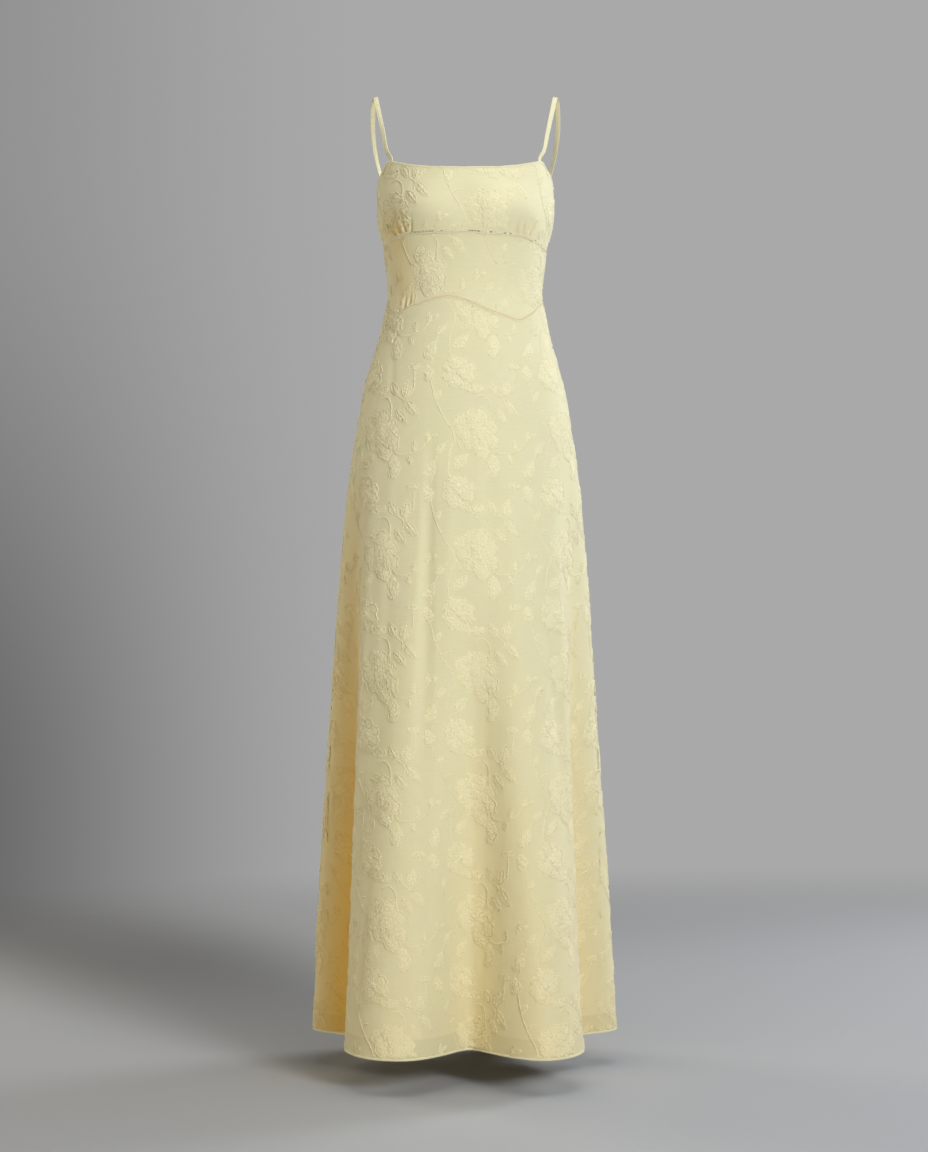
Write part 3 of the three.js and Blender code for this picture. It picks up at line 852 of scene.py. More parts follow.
def stitch_row(angles, heights, relief, pitch):
    """Row of running stitches along a line of places on the form."""
    place = on_form(angles, heights, relief(angles, heights))
    arc = arc_lengths(place)
    parts = []
    for s in np.arange(pitch / 2, arc[-1], pitch):
        middle = point_at(s, arc, place)
        along = point_at(s + 0.5, arc, place) - middle
        along /= np.linalg.norm(along) + 1e-9
        normal = outward(np.interp(s, arc, angles), middle[2])
        axes = along * STITCH_LONG, np.cross(normal, along) * STITCH_HALF, normal * STITCH_HIGH
        points = [middle + axes[0] * a + axes[1] * b + axes[2] * c for a, b, c in STITCH_POINTS]
        parts.append((points, STITCH_FACES))
    return join_parts(parts)


# ---- Woven figure ----

STROKE_STEP = 2.2
STEM_WIDTH = 1.2
STEM_LIFT = 0.3
RIDGE_WIDTH = 0.9
RIDGE_PITCH = 3.0
RIDGE_LIFT = 0.22
RIM_LIFT = 0.15
RANK_LIFT = 0.07
VEIN_PITCH = 4.2
VEIN_SLANT = 0.28
# Rounded patch that covers the middle of a flower head.
HEART = 5.0
HEART_LIFT = 0.6


def smooth_line(points, step=STROKE_STEP):
    """Curve through points, with even steps."""
    knots = np.asarray(points, float)
    along = arc_lengths(knots)
    count = max(math.ceil(along[-1] / step), 2)
    at = np.linspace(0, along[-1], count + 1)
    slope = np.gradient(knots, along, axis=0)
    i = np.clip(np.searchsorted(along, at) - 1, 0, len(knots) - 2)
    gap = (along[i + 1] - along[i])[:, None]
    t = ((at - along[i]) / gap[:, 0])[:, None]
    rise = 3 * t**2 - 2 * t**3
    bend = t * (1 - t) ** 2 * gap * slope[i] + t**2 * (t - 1) * gap * slope[i + 1]
    return knots[i] + (knots[i + 1] - knots[i]) * rise + bend


def axes_between(base, tip):
    """Both ends as arrays, the length between them, and the unit vectors along and across it."""
    base, tip = np.asarray(base, float), np.asarray(tip, float)
    length = np.linalg.norm(tip - base)
    along = (tip - base) / length
    return base, tip, length, along, np.array([-along[1], along[0]])


class Figure:
    """Strokes and filled patches of one repeat, in millimetres: u to the right and v downwards."""

    def __init__(self):
        self.strokes = []
        self.patches = []

    def stroke(self, line, width, lift):
        """Ridge of yarn along a line."""
        if len(line) >= 2:
            self.strokes.append((np.asarray(line, float), width, lift))

    def stem(self, *points, width=STEM_WIDTH):
        """Curved stem through points."""
        self.stroke(smooth_line(points), width, STEM_LIFT)

    def patch(self, outline, lift=0.0):
        """Filled patch with an outline."""
        outline = np.asarray(outline, float)
        self.patches.append((outline.mean(0), outline, lift))

    def leaf(self, base, tip, width):
        """Pointed leaf with a middle rib and slanting veins."""
        base, tip, length, along, side = axes_between(base, tip)
        t = np.linspace(0, 1, 8)
        swell = width / 2 * np.sin(np.pi * t**0.85) * (1 + 0.1 * np.sin(21 * t))
        edges = [base + np.outer(t * length, along) + np.outer(swell * s, side) for s in (1, -1)]
        self.patch(np.concatenate([edges[0], edges[1][-2:0:-1]]))
        for edge in edges:
            self.stroke(smooth_line(edge), RIDGE_WIDTH, RIM_LIFT)
        self.stem(base, tip, width=RIDGE_WIDTH)
        for s in (1, -1):
            for d in np.arange(VEIN_PITCH, length * 0.75, VEIN_PITCH):
                reach = np.interp((d + width * VEIN_SLANT) / length, t, swell)
                root = base + along * d
                end = root + along * width * VEIN_SLANT + side * s * reach * 0.86
                self.stroke([root, end], RIDGE_WIDTH * 0.8, RIM_LIFT)

    def petal(self, base, tip, width, rank, rng, ridges=True):
        """Rounded petal with a scalloped rim and broken ridges. Petals of a higher rank lie on top."""
        base, tip, length, along, side = axes_between(base, tip)
        lift = RANK_LIFT * rank
        turn = np.linspace(0, 2 * np.pi, 24, endpoint=False)
        phase = rng.uniform(0, 3)
        scallop = 1 + 0.12 * np.abs(np.sin(3.5 * turn + phase)) + 0.07 * np.sin(8 * turn + 2 * phase)
        s = length * (0.5 - 0.5 * np.cos(turn) * scallop)
        w = width / 2 * np.sin(turn) * scallop * (0.72 + 0.4 * s / length)
        outline = base + np.outer(s, along) + np.outer(w, side)
        self.patch(outline, lift)
        self.stroke(smooth_line(outline[5:20], 2.4), RIDGE_WIDTH * 1.1, lift + RIM_LIFT)
        if not ridges:
            return
        for q in np.arange(-width / 2 + 2.6, width / 2 - 1.6, RIDGE_PITCH):
            reach = math.sqrt(max(1 - (2 * q / width) ** 2, 0)) * length / 2
            start = length / 2 - reach + 2
            while start < length / 2 + reach - 3:
                end = min(start + rng.uniform(3.5, 9), length / 2 + reach - 1.5)
                p = np.arange(start, end, STROKE_STEP)
                wave = q + 0.5 * np.sin(p / 2.6 + rng.uniform(0, 6))
                self.stroke(base + np.outer(p, along) + np.outer(wave, side), RIDGE_WIDTH, lift + RIDGE_LIFT)
                start = end + rng.uniform(1.0, 2.5)

    def bloom(self, centre, tips, seed, ridges=True):
        """Flower head: petals fanned out from a centre. Each tip gives its place and the petal's width."""
        rng = random.Random(seed)
        centre = np.asarray(centre, float)
        order = list(range(len(tips)))
        rng.shuffle(order)
        for rank, k in enumerate(order):
            x, y, width = tips[k]
            inward = centre + (centre - np.array([x, y])) * 0.12
            self.petal(inward, (x, y), width, rank, rng, ridges)
        turn = np.linspace(0, 2 * np.pi, 10, endpoint=False)
        self.patch(centre + HEART * np.stack([np.cos(turn), np.sin(turn)], 1), HEART_LIFT)

    def bud(self, base, tip, width, seed):
        """Oblong bud of three rounded florets."""
        rng = random.Random(seed)
        base, tip, _, _, side = axes_between(base, tip)
        for rank, (start, end, lean) in enumerate(((0, 0.6, 0.16), (0.2, 0.8, -0.18), (0.45, 1.0, 0.08))):
            a = base + (tip - base) * start + side * width * lean
            b = base + (tip - base) * end + side * width * lean * 0.4
            self.petal(a, b, width * 0.86, rank, rng, ridges=False)

    def sprig(self, base, tip, width):
        """Small open flower of three petals on one point."""
        rng = random.Random(int(base[0]))
        base, tip = np.asarray(base, float), np.asarray(tip, float)
        axis = tip - base
        for rank, turn in enumerate((-52, 50, 0)):
            c, s = math.cos(math.radians(turn)), math.sin(math.radians(turn))
            turned = np.array([c * axis[0] - s * axis[1], s * axis[0] + c * axis[1]])
            self.petal(base, base + turned * (1 if turn else 0.8), width, rank, rng, ridges=False)


def chart_figure():
    """One repeat of the cloth's figure: flower heads on a climbing stem, with leaves, buds and twigs."""
    f = Figure()
    f.stem((25, 0), (27, 14), (24, 24))
    f.stem((24, 44), (27, 56), (31, 72), (39, 91), (47, 106), (57, 122), (60, 133), (55, 144), (52, 160),
           (51, 180), (53, 192))
    f.stem((42, 95), (49, 90), (56, 89))
    f.stem((62, 131), (66, 140), (70, 150))
    f.stem((112, 108), (111, 94), (111, 83), (107, 74), (100, 70), (93, 71), (89, 75))
    f.stem((131, 88), (132, 76), (121, 68))
    f.stem((133, 74), (146, 62), (148, 44), (148, 30))
    f.stem((115, 142), (120, 153), (128, 155), (139, 154), (152, 151), (162, 144), (169, 136), (175, 129))
    f.stem((51, 136), (44, 142), (34, 158), (30, 170))
    f.bloom((88, 116), ((62, 104, 24), (66, 128, 20), (82, 147, 22), (104, 160, 22), (121, 142, 24),
                        (122, 116, 24), (104, 93, 24), (84, 90, 18)), seed=3)
    f.bloom((66, 35), ((46, 24, 17), (44, 42, 17), (56, 56, 17), (74, 58, 17), (88, 44, 17), (88, 26, 17),
                       (72, 12, 18), (55, 12, 16)), seed=5, ridges=False)
    f.bud((20, 24), (23, 47), 15, seed=7)
    f.leaf((31, 76), (41, 61), 8)
    f.leaf((58, 176), (80, 155), 15)
    f.sprig((90, 66), (90, 50), 9)
    f.leaf((121, 68), (110, 47), 12)
    f.leaf((133, 72), (139, 45), 14)
    f.sprig((147, 30), (147, 20), 8)
    f.leaf((134, 75), (155, 101), 12)
    f.leaf((119, 88), (137, 110), 11)
    f.bud((119, 156), (116, 189), 17, seed=11)
    f.leaf((140, 155), (143, 170), 7)
    f.leaf((148, 151), (149, 133), 6)
    f.leaf((168, 137), (170, 120), 6)
    f.leaf((174, 130), (184, 126), 5)
    f.leaf((46, 140), (33, 156), 10)
    f.bud((32, 166), (18, 190), 14, seed=13)
    return f


# Where the repeat lies on each panel: flat coordinates of the corner of one repeat.
FIGURE_PLACE = {
    "bust_front": (-60.0, 66.0),
    "bust_back": (-20.0, 40.0),
    "midriff_left": (-132.0, 150.0),
    "midriff_centre": (-153.0, 148.0),
    "midriff_right": (22.0, 170.0),
    "midriff_back": (-74.0, 120.0),
    "skirt_front": (-74.0, 210.0),
    "skirt_back": (-74.0, 250.0),
}


def repeat_mesh(figure, height):
    """Flat points, lifts and quads of one whole repeat of the figure."""
    parts = [stroke_mesh(line, width, height, lift) for line, width, lift in figure.strokes]
    parts += [patch_mesh(middle, outline, height, lift) for middle, outline, lift in figure.patches]
    starts = np.cumsum([0] + [len(points) for points, _, _ in parts])
    points, lifts, _ = (np.concatenate(column) for column in zip(*parts))
    return points, lifts, np.concatenate([part[2] + start for part, start in zip(parts, starts)])


def figure_shows(panel, angle, z):
    """True where the figure lies on a panel: clear of its edges, and not pressed flat in a gather."""
    side = FIGURE_SIDE_MARGIN / form_radius(angle, z)
    wide = (np.radians(angle - panel.start) > side) & (np.radians(panel.end - angle) > side)
    tall = (z < panel.top(angle) - FIGURE_EDGE_MARGIN) & (z > panel.bottom(angle) + FIGURE_EDGE_MARGIN)
    if panel.relief is not bust_relief:
        return wide & tall
    return wide & tall & (pinched(GATHERS, angle, z - underbust_seam(angle)) <= PRESSED)


def figure_parts(panel, repeat, place):
    """Points, quads and painted golden shade of the figure over one panel, with a corner of the repeat at a
    place.
    """
    points, lifts, quads = repeat
    wide, tall = sizes().figure_width / MM, sizes().figure_drop / MM
    top = -panel.top(np.linspace(panel.start, panel.end, 60)).max()
    low = -panel.bottom(0.0) + FIGURE_SPARE
    reach = np.abs(panel.flat.arcs).max()
    columns = range(math.floor((-reach - place[0]) / wide) - 1, math.ceil((reach - place[0]) / wide) + 1)
    rows = range(math.floor((top - place[1]) / tall) - 1, math.ceil((low - place[1]) / tall) + 1)
    corners = [np.array([place[0] + i * wide, place[1] + j * tall]) for i in columns for j in rows]
    u, v = np.concatenate([points + corner for corner in corners]).T
    lift = np.tile(lifts, len(corners))
    faces = np.concatenate([quads + k * len(points) for k in range(len(corners))])
    angle, z = panel.flat.place(u, v)
    faces = faces[figure_shows(panel, angle, z)[faces].all(axis=1)]
    used, faces = np.unique(faces, return_inverse=True)
    angle, z, lift = angle[used], z[used], lift[used]
    return on_form(angle, z, lift + panel.relief(angle, z)), faces.reshape(-1, 4), fold_gold(angle, z)


# The figure's edges reach a little into the cloth, and the ends of a ridge lie a little above them.
FOOT = -0.3
RIDGE_END = 0.2


def stroke_mesh(line, width, height, lift):
    """Half-round ridge along a line of the flat cloth: points, lifts and quads."""
    step = np.gradient(line, axis=0)
    step /= np.linalg.norm(step, axis=1)[:, None] + 1e-9
    side = np.stack([-step[:, 1], step[:, 0]], 1)
    taper = np.ones(len(line))
    taper[[0, -1]] = 0.5
    rows = [line + side * (width * taper)[:, None], line, line - side * (width * taper)[:, None]]
    points = np.stack(rows, 1).reshape(-1, 2)
    lifts = np.tile([FOOT, height + lift, FOOT], (len(line), 1))
    lifts[[0, -1], 1] = FOOT + RIDGE_END
    k = np.arange(len(line) - 1) * 3
    quads = np.concatenate([
        np.stack([k, k + 3, k + 4, k + 1], 1),
        np.stack([k + 1, k + 4, k + 5, k + 2], 1),
    ])
    return points, lifts.ravel(), quads


# Rings of a filled patch, from its outline inwards: how far out from its middle, as a share, and how high, as
# a share of the figure's height. The outline itself lies at the foot.
PATCH_RINGS = ((1.0, None), (0.9, 0.2), (0.5, 0.26))


def patch_mesh(middle, outline, height, lift):
    """Low filled patch of the figure: rings of points from its outline to its middle."""
    calm = (np.roll(outline, 1, 0) + outline + np.roll(outline, -1, 0)) / 3
    edges = (outline, outline, calm)
    rings = [middle + (edge - middle) * share for edge, (share, _) in zip(edges, PATCH_RINGS)]
    levels = [FOOT if share is None else height * share + lift for _, share in PATCH_RINGS]
    lifts = np.repeat(levels, len(outline))
    n = len(outline)
    area = np.sum(outline[:, 0] * np.roll(outline[:, 1], -1) - outline[:, 1] * np.roll(outline[:, 0], -1))
    k = np.arange(n)
    quads = []
    for r in range(len(PATCH_RINGS) - 1):
        a, b = r * n + k, r * n + (k + 1) % n
        quads.append(np.stack([a, b, b + n, a + n], 1))
    last = (len(PATCH_RINGS) - 1) * n
    j = np.arange(n // 2 - 1)
    quads.append(np.stack([last + j, last + j + 1, last + n - 2 - j, last + n - 1 - j], 1))
    quads = np.concatenate(quads)
    return np.concatenate(rings), lifts, quads[:, ::-1] if area > 0 else quads


# ---- Operators ----


def lay_panels(names, cloth):
    """Makes chiffon panels, each in the place of its node."""
    for name in names:
        piece = panel_piece(PANELS[name], cloth, "sheer_cloth")
        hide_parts(name)


class DRESS_OT_bodice(bpy.types.Operator):
    """Builds the bust and midriff panels"""

    bl_idname = "dress.bodice"
    bl_label = "Bodice"

    def execute(self, context):
        names = ("bust_front", "bust_back", "midriff_left", "midriff_centre", "midriff_right", "midriff_back")
        lay_panels(names, backed_chiffon())
        return {"FINISHED"}


class DRESS_OT_skirt(bpy.types.Operator):
    """Builds the sheer front and back of the skirt"""

    bl_idname = "dress.skirt"
    bl_label = "Skirt"

    def execute(self, context):
        lay_panels(("skirt_front", "skirt_back"), sheer_chiffon())
        return {"FINISHED"}


def lining_inset(panel, angle, z):
    """How far inside the form the lining hangs: close to the skirt at its top, and further off lower down."""
    share = np.clip((panel.top(angle) - z) / LINING_GAP_RUN, 0, 1)
    return -CAD_WALL - LINING_GAP_TOP - (LINING_GAP_LOW - LINING_GAP_TOP) * share


class DRESS_OT_lining(bpy.types.Operator):
    """Builds the shorter plain lining inside the skirt"""

    bl_idname = "dress.lining"
    bl_label = "Lining"

    def execute(self, context):
        cloth = lining_cloth()
        for name, skirt in (("lining_front", "skirt_front"), ("lining_back", "skirt_back")):
            panel = PANELS[skirt]._replace(name=name, bottom=lining_hem, step=2.0, rows=70)
            piece = panel_piece(panel, cloth, "lining_cloth", lining_inset)
            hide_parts(name)
        return {"FINISHED"}


# Middle line of the right strap over the shoulder, in millimetres. Turn tells which way the strap's width
# points: 0 as at the front edge, 1 as on the shoulder and 2 as at the back edge.
Station = namedtuple("Station", "x y z turn")
STRAP_ROUTE = [Station(*row) for row in (
    (116, -43.5, -89, 0.15),
    (122.5, -32, -58, 0.4),
    (129, -18.5, -27, 0.75),
    (132.8, -9, -9, 0.95),
    (135, 0, -0.8, 1),
    (137.5, 9, -5, 1.05),
    (139.5, 20, -22, 1.2),
    (139.8, 32, -46, 1.45),
    (137, 41.5, -73, 1.7),
    (131.5, 47, -99, 1.85),
    (124, 48, -124, 1.95),
)]
STRAP_FRONT_ANGLE = 66.0
STRAP_BACK_ANGLE = 111.0
STRAP_TUCK = 13.0
STRAP_CLEAR = 4.0
STRAP_GAP = 0.5
STRAP_WALL = 1.6
STRAP_STEPS = 130
SHOULDER_TILT = 14.0


def centripetal_curve(knots, t):
    """Points of a centripetal curve through knots, at shares t of its run."""
    knots = np.asarray(knots, float)
    ends = [2 * knots[0] - knots[1], 2 * knots[-1] - knots[-2]]
    padded = np.vstack([ends[0], knots, ends[1]])
    points = []
    for share in t:
        place = share * (len(knots) - 1)
        i = min(int(place), len(knots) - 2)
        w = place - i
        p0, p1, p2, p3 = padded[i : i + 4]
        d0, d1, d2 = (max(np.linalg.norm(b - a) ** 0.5, 1e-4) for a, b in ((p0, p1), (p1, p2), (p2, p3)))
        m1 = ((p1 - p0) / d0 - (p2 - p0) / (d0 + d1) + (p2 - p1) / d1) * d1
        m2 = ((p2 - p1) / d1 - (p3 - p1) / (d1 + d2) + (p3 - p2) / d2) * d1
        points.append((2 * w**3 - 3 * w**2 + 1) * p1 + (w**3 - 2 * w**2 + w) * m1
                      + (-2 * w**3 + 3 * w**2) * p2 + (w**3 - w**2) * m2)
    return np.array(points)


def strap_frames(count):
    """Middle line, width direction, face direction and forward direction of the right strap."""
    inside = -CAD_WALL - STRAP_GAP - STRAP_WALL / 2
    front_tuck, front_clear, back_clear, back_tuck = (
        on_form(angle, top_edge(angle) - drop, inside)
        for angle, drop in (
            (STRAP_FRONT_ANGLE, STRAP_TUCK),
            (STRAP_FRONT_ANGLE, -STRAP_CLEAR),
            (STRAP_BACK_ANGLE, -STRAP_CLEAR),
            (STRAP_BACK_ANGLE, STRAP_TUCK),
        )
    )
    over = [np.array([s.x, s.y, s.z]) for s in STRAP_ROUTE]
    knots = [front_tuck, front_clear, *over, back_clear, back_tuck]
    turns = [0, 0] + [s.turn for s in STRAP_ROUTE] + [2, 2]
    t = np.linspace(0, 1, count)
    middle = centripetal_curve(knots, t)
    turn = np.interp(t * (len(turns) - 1), np.arange(len(turns)), turns)
    front, back = (outward(a, top_edge(a)) for a in (STRAP_FRONT_ANGLE, STRAP_BACK_ANGLE))
    tilt = math.radians(SHOULDER_TILT)
    shoulder = [math.cos(tilt), 0, -math.sin(tilt)]
    widths = np.array([[-front[1], front[0], 0], shoulder, [back[1], -back[0], 0]])
    low = np.clip(turn.astype(int), 0, 1)
    width = widths[low] + (widths[low + 1] - widths[low]) * (turn - low)[:, None]
    forward = np.gradient(middle, axis=0)
    forward /= np.linalg.norm(forward, axis=1)[:, None]
    width -= forward * np.sum(width * forward, axis=1)[:, None]
    width /= np.linalg.norm(width, axis=1)[:, None]
    return middle, width, np.cross(forward, width), forward


# Half of the strap's section, from its middle to its edge: across, and height of the face. The grooves, where
# the stitches lie, are the two low places of the whole section.
STRAP_SECTION = ((0.0, 0.8), (1.1, 0.78), (1.75, 0.5), (2.4, 0.74), (3.1, 0.7), (3.5, 0.25))
STRAP_GROOVE = 1.75
STRAP_GROOVE_HIGH = 0.45

# A strap's stitch: points along, across and up, and the faces between them.
STRAP_STITCH_POINTS = ((-1.1, 0, 0), (0, 0.35, 0), (0, 0, 0.3), (0, -0.35, 0), (1.1, 0, 0))
STRAP_STITCH_FACES = ((0, 2, 1), (0, 3, 2), (1, 2, 4), (2, 3, 4), (0, 1, 4), (0, 4, 3))


def strap_stitches(frames, arc, pitch):
    """Small lenses of thread in the two grooves of a strap, on both faces."""
    parts = []
    for side in (-STRAP_GROOVE, STRAP_GROOVE):
        for way in (1, -1):
            for s in np.arange(pitch, arc[-1] - pitch, pitch):
                middle, width, face, forward = (point_at(s, arc, line) for line in frames)
                base = middle + width * side + face * way * STRAP_GROOVE_HIGH
                points = [base + forward * a + width * b + face * way * c for a, b, c in STRAP_STITCH_POINTS]
                parts.append((points, STRAP_STITCH_FACES))
    return parts


class DRESS_OT_straps(bpy.types.Operator):
    """Builds the two straps of folded cloth, with two rows of stitches each"""

    bl_idname = "dress.straps"
    bl_label = "Straps"

    def execute(self, context):
        cloth = backed_chiffon()
        thread = trim_thread()
        half = list(STRAP_SECTION)
        upper = [(-a, h) for a, h in half[:0:-1]] + half
        profile = np.array(upper + [(a, -h) for a, h in upper[::-1]])
        right = strap_frames(STRAP_STEPS)
        for name, side in (("strap_right", 1), ("strap_left", -1)):
            frames = [line * np.array([side, 1, 1]) for line in right]
            middle, width, face, _ = frames
            points, faces = sweep(middle, width, face, profile, False)
            if side > 0:
                faces = [f[::-1] for f in faces]
            arc = arc_lengths(middle)
            flat = np.stack([np.tile(profile[:, 0], len(middle)), np.repeat(arc, len(profile))], 1)
            strap = new_piece(f"{name}_cloth", points, faces, cloth, "sheer_cloth", flat)
            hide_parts(name)
            stitches = strap_stitches(frames, arc, sizes().stitch_pitch / MM)
            rows = new_piece(f"{name}_stitches", *join_parts(stitches), thread, "ladder_trim")
        return {"FINISHED"}


# Binding and rolled hem: depth of their middle under the cloth's face, and half their thickness. Binding: the
# middle's distance below the edge, and half its height. Stitches: their distance from the edge and the roll.
ROLL_OUT = -0.4
ROLL_HALF = 0.95
BINDING_DROP = 1.3
BINDING_HALF = 1.7
EDGE_STITCH_DROP = 4.4
HEM_STITCH_RISE = 0.6
# Flat millimetres for each degree round a roll.
ROLL_FLAT = 2.6


class DRESS_OT_edges(bpy.types.Operator):
    """Builds the narrow binding of the top edge, the rolled hem and their stitches"""

    bl_idname = "dress.edges"
    bl_label = "Binding and hem"

    def execute(self, context):
        thread = trim_thread()
        cloth = backed_chiffon()
        pitch = sizes().stitch_pitch / MM
        half = sizes().hem_roll / MM / 2
        for name, height, relief, half_up in (
            ("top_binding", lambda angle: top_edge(angle) - BINDING_DROP, bust_relief, BINDING_HALF),
            ("rolled_hem", lambda angle: hem_line(angle) + half, skirt_relief, half),
        ):
            points, faces = roll(height, relief, ROLL_OUT, ROLL_HALF, half_up)
            angle = np.degrees(np.arctan2(points[:, 0], -points[:, 1]))
            flat = np.stack([angle * ROLL_FLAT, -points[:, 2]], 1)
            new_piece(name, points, faces, cloth, "sheer_cloth", flat)
        angles = np.linspace(-180, 180, 900)
        rows = [
            stitch_row(angles, top_edge(angles) - EDGE_STITCH_DROP, bust_relief, pitch),
            stitch_row(angles, hem_line(angles) + 2 * half + HEM_STITCH_RISE, skirt_relief, pitch),
        ]
        new_piece("edge_stitches", *join_parts(rows), thread, "ladder_trim")
        return {"FINISHED"}


# Rails and bars of the trims: how far their middles stand off the form, half their thickness, and the width
# of a bar from its foot to its head, as shares. The net's face lies a little further out than their middles.
RAIL_OUT = 0.1
RAIL_DEEP = 0.38
BAR_WAIST = (1.15, 0.85, 0.85, 1.15)
BAR_SIDES = 6
# How far a bar's width and the distance to the next bar vary, as shares.
BAR_SWELL = (0.85, 1.15)
BAR_SWING = (0.9, 1.1)
# Distance of the first and last bar from the side seams, and degrees between the places along a rail.
BAR_MARGIN = 1.0
RAIL_STEP = 0.75
NET_OUT = 0.42
NET_WALL = 0.3


class DRESS_OT_ladder_trims(bpy.types.Operator):
    """Builds the two openwork ladder trims of the front"""

    bl_idname = "dress.ladder_trims"
    bl_label = "Ladder trims"

    def execute(self, context):
        thread = trim_thread()
        for name, seam, ladder, web, seed in (
            ("underbust", underbust_seam, UNDERBUST_LADDER, colours().web, 21),
            ("waist", waist_seam, WAIST_LADDER, colours().waist_web, 22),
        ):
            low, high = ladder.slot
            rails = [
                roll(lambda angle, rise=(start + end) / 2: seam(angle) + rise, creased, RAIL_OUT, RAIL_DEEP,
                     (end - start) / 2, -SIDE, SIDE, RAIL_STEP)
                for start, end in ((-TRIM_HALF, low), (high, TRIM_HALF))
            ]
            angles = np.linspace(-SIDE, SIDE, 1200)
            arc = arc_lengths(on_form(angles, seam(angles)))
            rng = random.Random(seed)
            bars, nets = [], []
            place = BAR_MARGIN
            while place < arc[-1] - BAR_MARGIN:
                angle = np.interp(place, arc, angles)
                bars.append(self.bar(angle, seam(angle), ladder, rng.uniform(*BAR_SWELL)))
                gap = ladder.pitch * rng.uniform(*BAR_SWING)
                middle = np.interp(place + gap / 2, arc, angles)
                bare = any(start < middle < end for start, end in ladder.open_spans)
                if rng.random() > ladder.open_share and not bare:
                    nets.append(self.net(middle, seam(middle), ladder, gap / 2))
                place += gap
            piece = new_piece(f"{name}_trim_threads", *join_parts(rails + bars), thread, "ladder_trim")
            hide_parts(f"{name}_trim")
            net = trim_net(f"{name}_net", web)
            piece = new_piece(f"{name}_trim_net", *join_parts(nets), net, "ladder_trim")
            piece.data.set_sharp_from_angle(angle=RIM_ANGLE)
        return {"FINISHED"}

    def bar(self, angle, z, ladder, swell):
        """One bar of the ladder, from rail to rail."""
        low, high = ladder.slot
        count = len(BAR_WAIST)
        heights = z + np.linspace(low - TUCK_IN, high + TUCK_IN, count)
        angles = np.full(count, angle)
        normal = outward(angles, heights)
        side = np.cross(UP, normal)
        halves = ladder.bar * swell * np.array(BAR_WAIST)
        profile = oval_profile(1, 1, BAR_SIDES)
        wide = side[:, None, :] * (halves[:, None, None] * profile[None, :, [0]])
        deep = normal[:, None, :] * (RAIL_DEEP * profile[None, :, [1]])
        rings = on_form(angles, heights, RAIL_OUT)[:, None, :] + wide + deep
        faces = []
        for i in range(count - 1):
            a, b = i * BAR_SIDES, (i + 1) * BAR_SIDES
            ends = [(k, (k + 1) % BAR_SIDES) for k in range(BAR_SIDES)]
            faces += [(a + k, a + after, b + after, b + k) for k, after in ends]
        return rings.reshape(-1, 3), faces

    def net(self, angle, z, ladder, half):
        """Net over one hole, a thin plate from rail to rail."""
        normal = outward(angle, z)
        side = np.cross(UP, normal) * half
        low, high = ladder.slot
        middle = on_form(angle, z + (low + high) / 2, NET_OUT)
        up = UP * ((high - low) / 2 + TUCK_IN / 2)
        front = [middle - side - up, middle + side - up, middle + side + up, middle - side + up]
        back = [corner - normal * NET_WALL for corner in front]
        faces = [(0, 1, 2, 3), (7, 6, 5, 4), (0, 4, 5, 1), (1, 5, 6, 2), (2, 6, 7, 3), (3, 7, 4, 0)]
        return front + back, faces


# How far the rows of repeats go on below a panel's foot at the centre front.
FIGURE_SPARE = 40
# Distance of the figure from a panel's side edges, and from its top and bottom edge.
FIGURE_SIDE_MARGIN = 0.8
FIGURE_EDGE_MARGIN = 2.6
# Depth of a gather past which the figure is pressed flat, so that it no longer shows.
PRESSED = 0.4
# Height at which the figure of each half of the skirt is cut in two pieces.
FIGURE_CUT = -860


class DRESS_OT_figure(bpy.types.Operator):
    """Lays the raised figure of the cloth over every panel"""

    bl_idname = "dress.figure"
    bl_label = "Woven figure"

    def execute(self, context):
        yarn = figure_yarn()
        repeat = repeat_mesh(chart_figure(), sizes().figure_height / MM)
        for name, panel in PANELS.items():
            points, faces, gold = figure_parts(panel, repeat, FIGURE_PLACE[name])
            if name.startswith("skirt"):
                upper = points[faces].mean(axis=1)[:, 2] > FIGURE_CUT
                self.make(f"{name}_figure_upper", points, faces[upper], yarn, gold)
                self.make(f"{name}_figure_lower", points, faces[~upper], yarn, gold)
            else:
                self.make(f"{name}_figure", points, faces, yarn, gold)
        return {"FINISHED"}

    def make(self, name, points, faces, yarn, gold):
        """Piece of the figure, with only the points that its faces use."""
        used, faces = np.unique(faces, return_inverse=True)
        new_piece(name, points[used], faces.reshape(-1, 4), yarn, "sheer_cloth", gold=gold[used])


# Camera and stage, in metres.
EYE_DISTANCE = 3.56
EYE_HEIGHT = -0.718
EYE_SHIFT = -0.002
LENS = 74.17
SENSOR = 36.0
FLOOR_REACH = 4.6
FLOOR_MIDDLE = (0.6, -2.0)
# Shares of its reach between which the floor fades out.
FLOOR_FADE = (0.68, 0.99)
# Long soft shadow of the dress, painted on the floor: middle, turn, half length and half width in metres, and
# tone.
SHADE_MIDDLE = (-0.77, 1.29)
SHADE_TURN = math.radians(119.7)
SHADE_HALF = (1.9, 0.52)
PAINTED_SHADOW_TONE = 0.56
# Painted shade of the seen wall: its tones at the lower left and upper left, as shares of the tone at its
# right, and the spans of the direction of view over which they change.
WALL_LOW = 0.29
WALL_HIGH = 0.68
WALL_ACROSS = (-0.242, -0.024)
WALL_UP = (-0.097, 0.177)
AIR_STRENGTH = 0.05
LAMP_AIM = Vector((0, 0, -0.72))
# Soft boxes: name, place in metres, size across, power in watts and colour.
LAMPS = (
    ("key_light", (2.05, -3.25, 0.5), 1.3, 90.0, "#fffffe"),
    ("warm_fill", (-2.2, -2.4, -1.0), 1.8, 29.0, "#fff2d8"),
    ("right_edge", (2.2, 1.3, 0.0), 1.0, 32.0, "#fcfdff"),
    ("left_edge", (-2.2, 1.3, 0.0), 1.2, 20.0, "#fff3da"),
    ("top_light", (0.3, -0.4, 1.6), 1.8, 22.0, "#ffffff"),
)


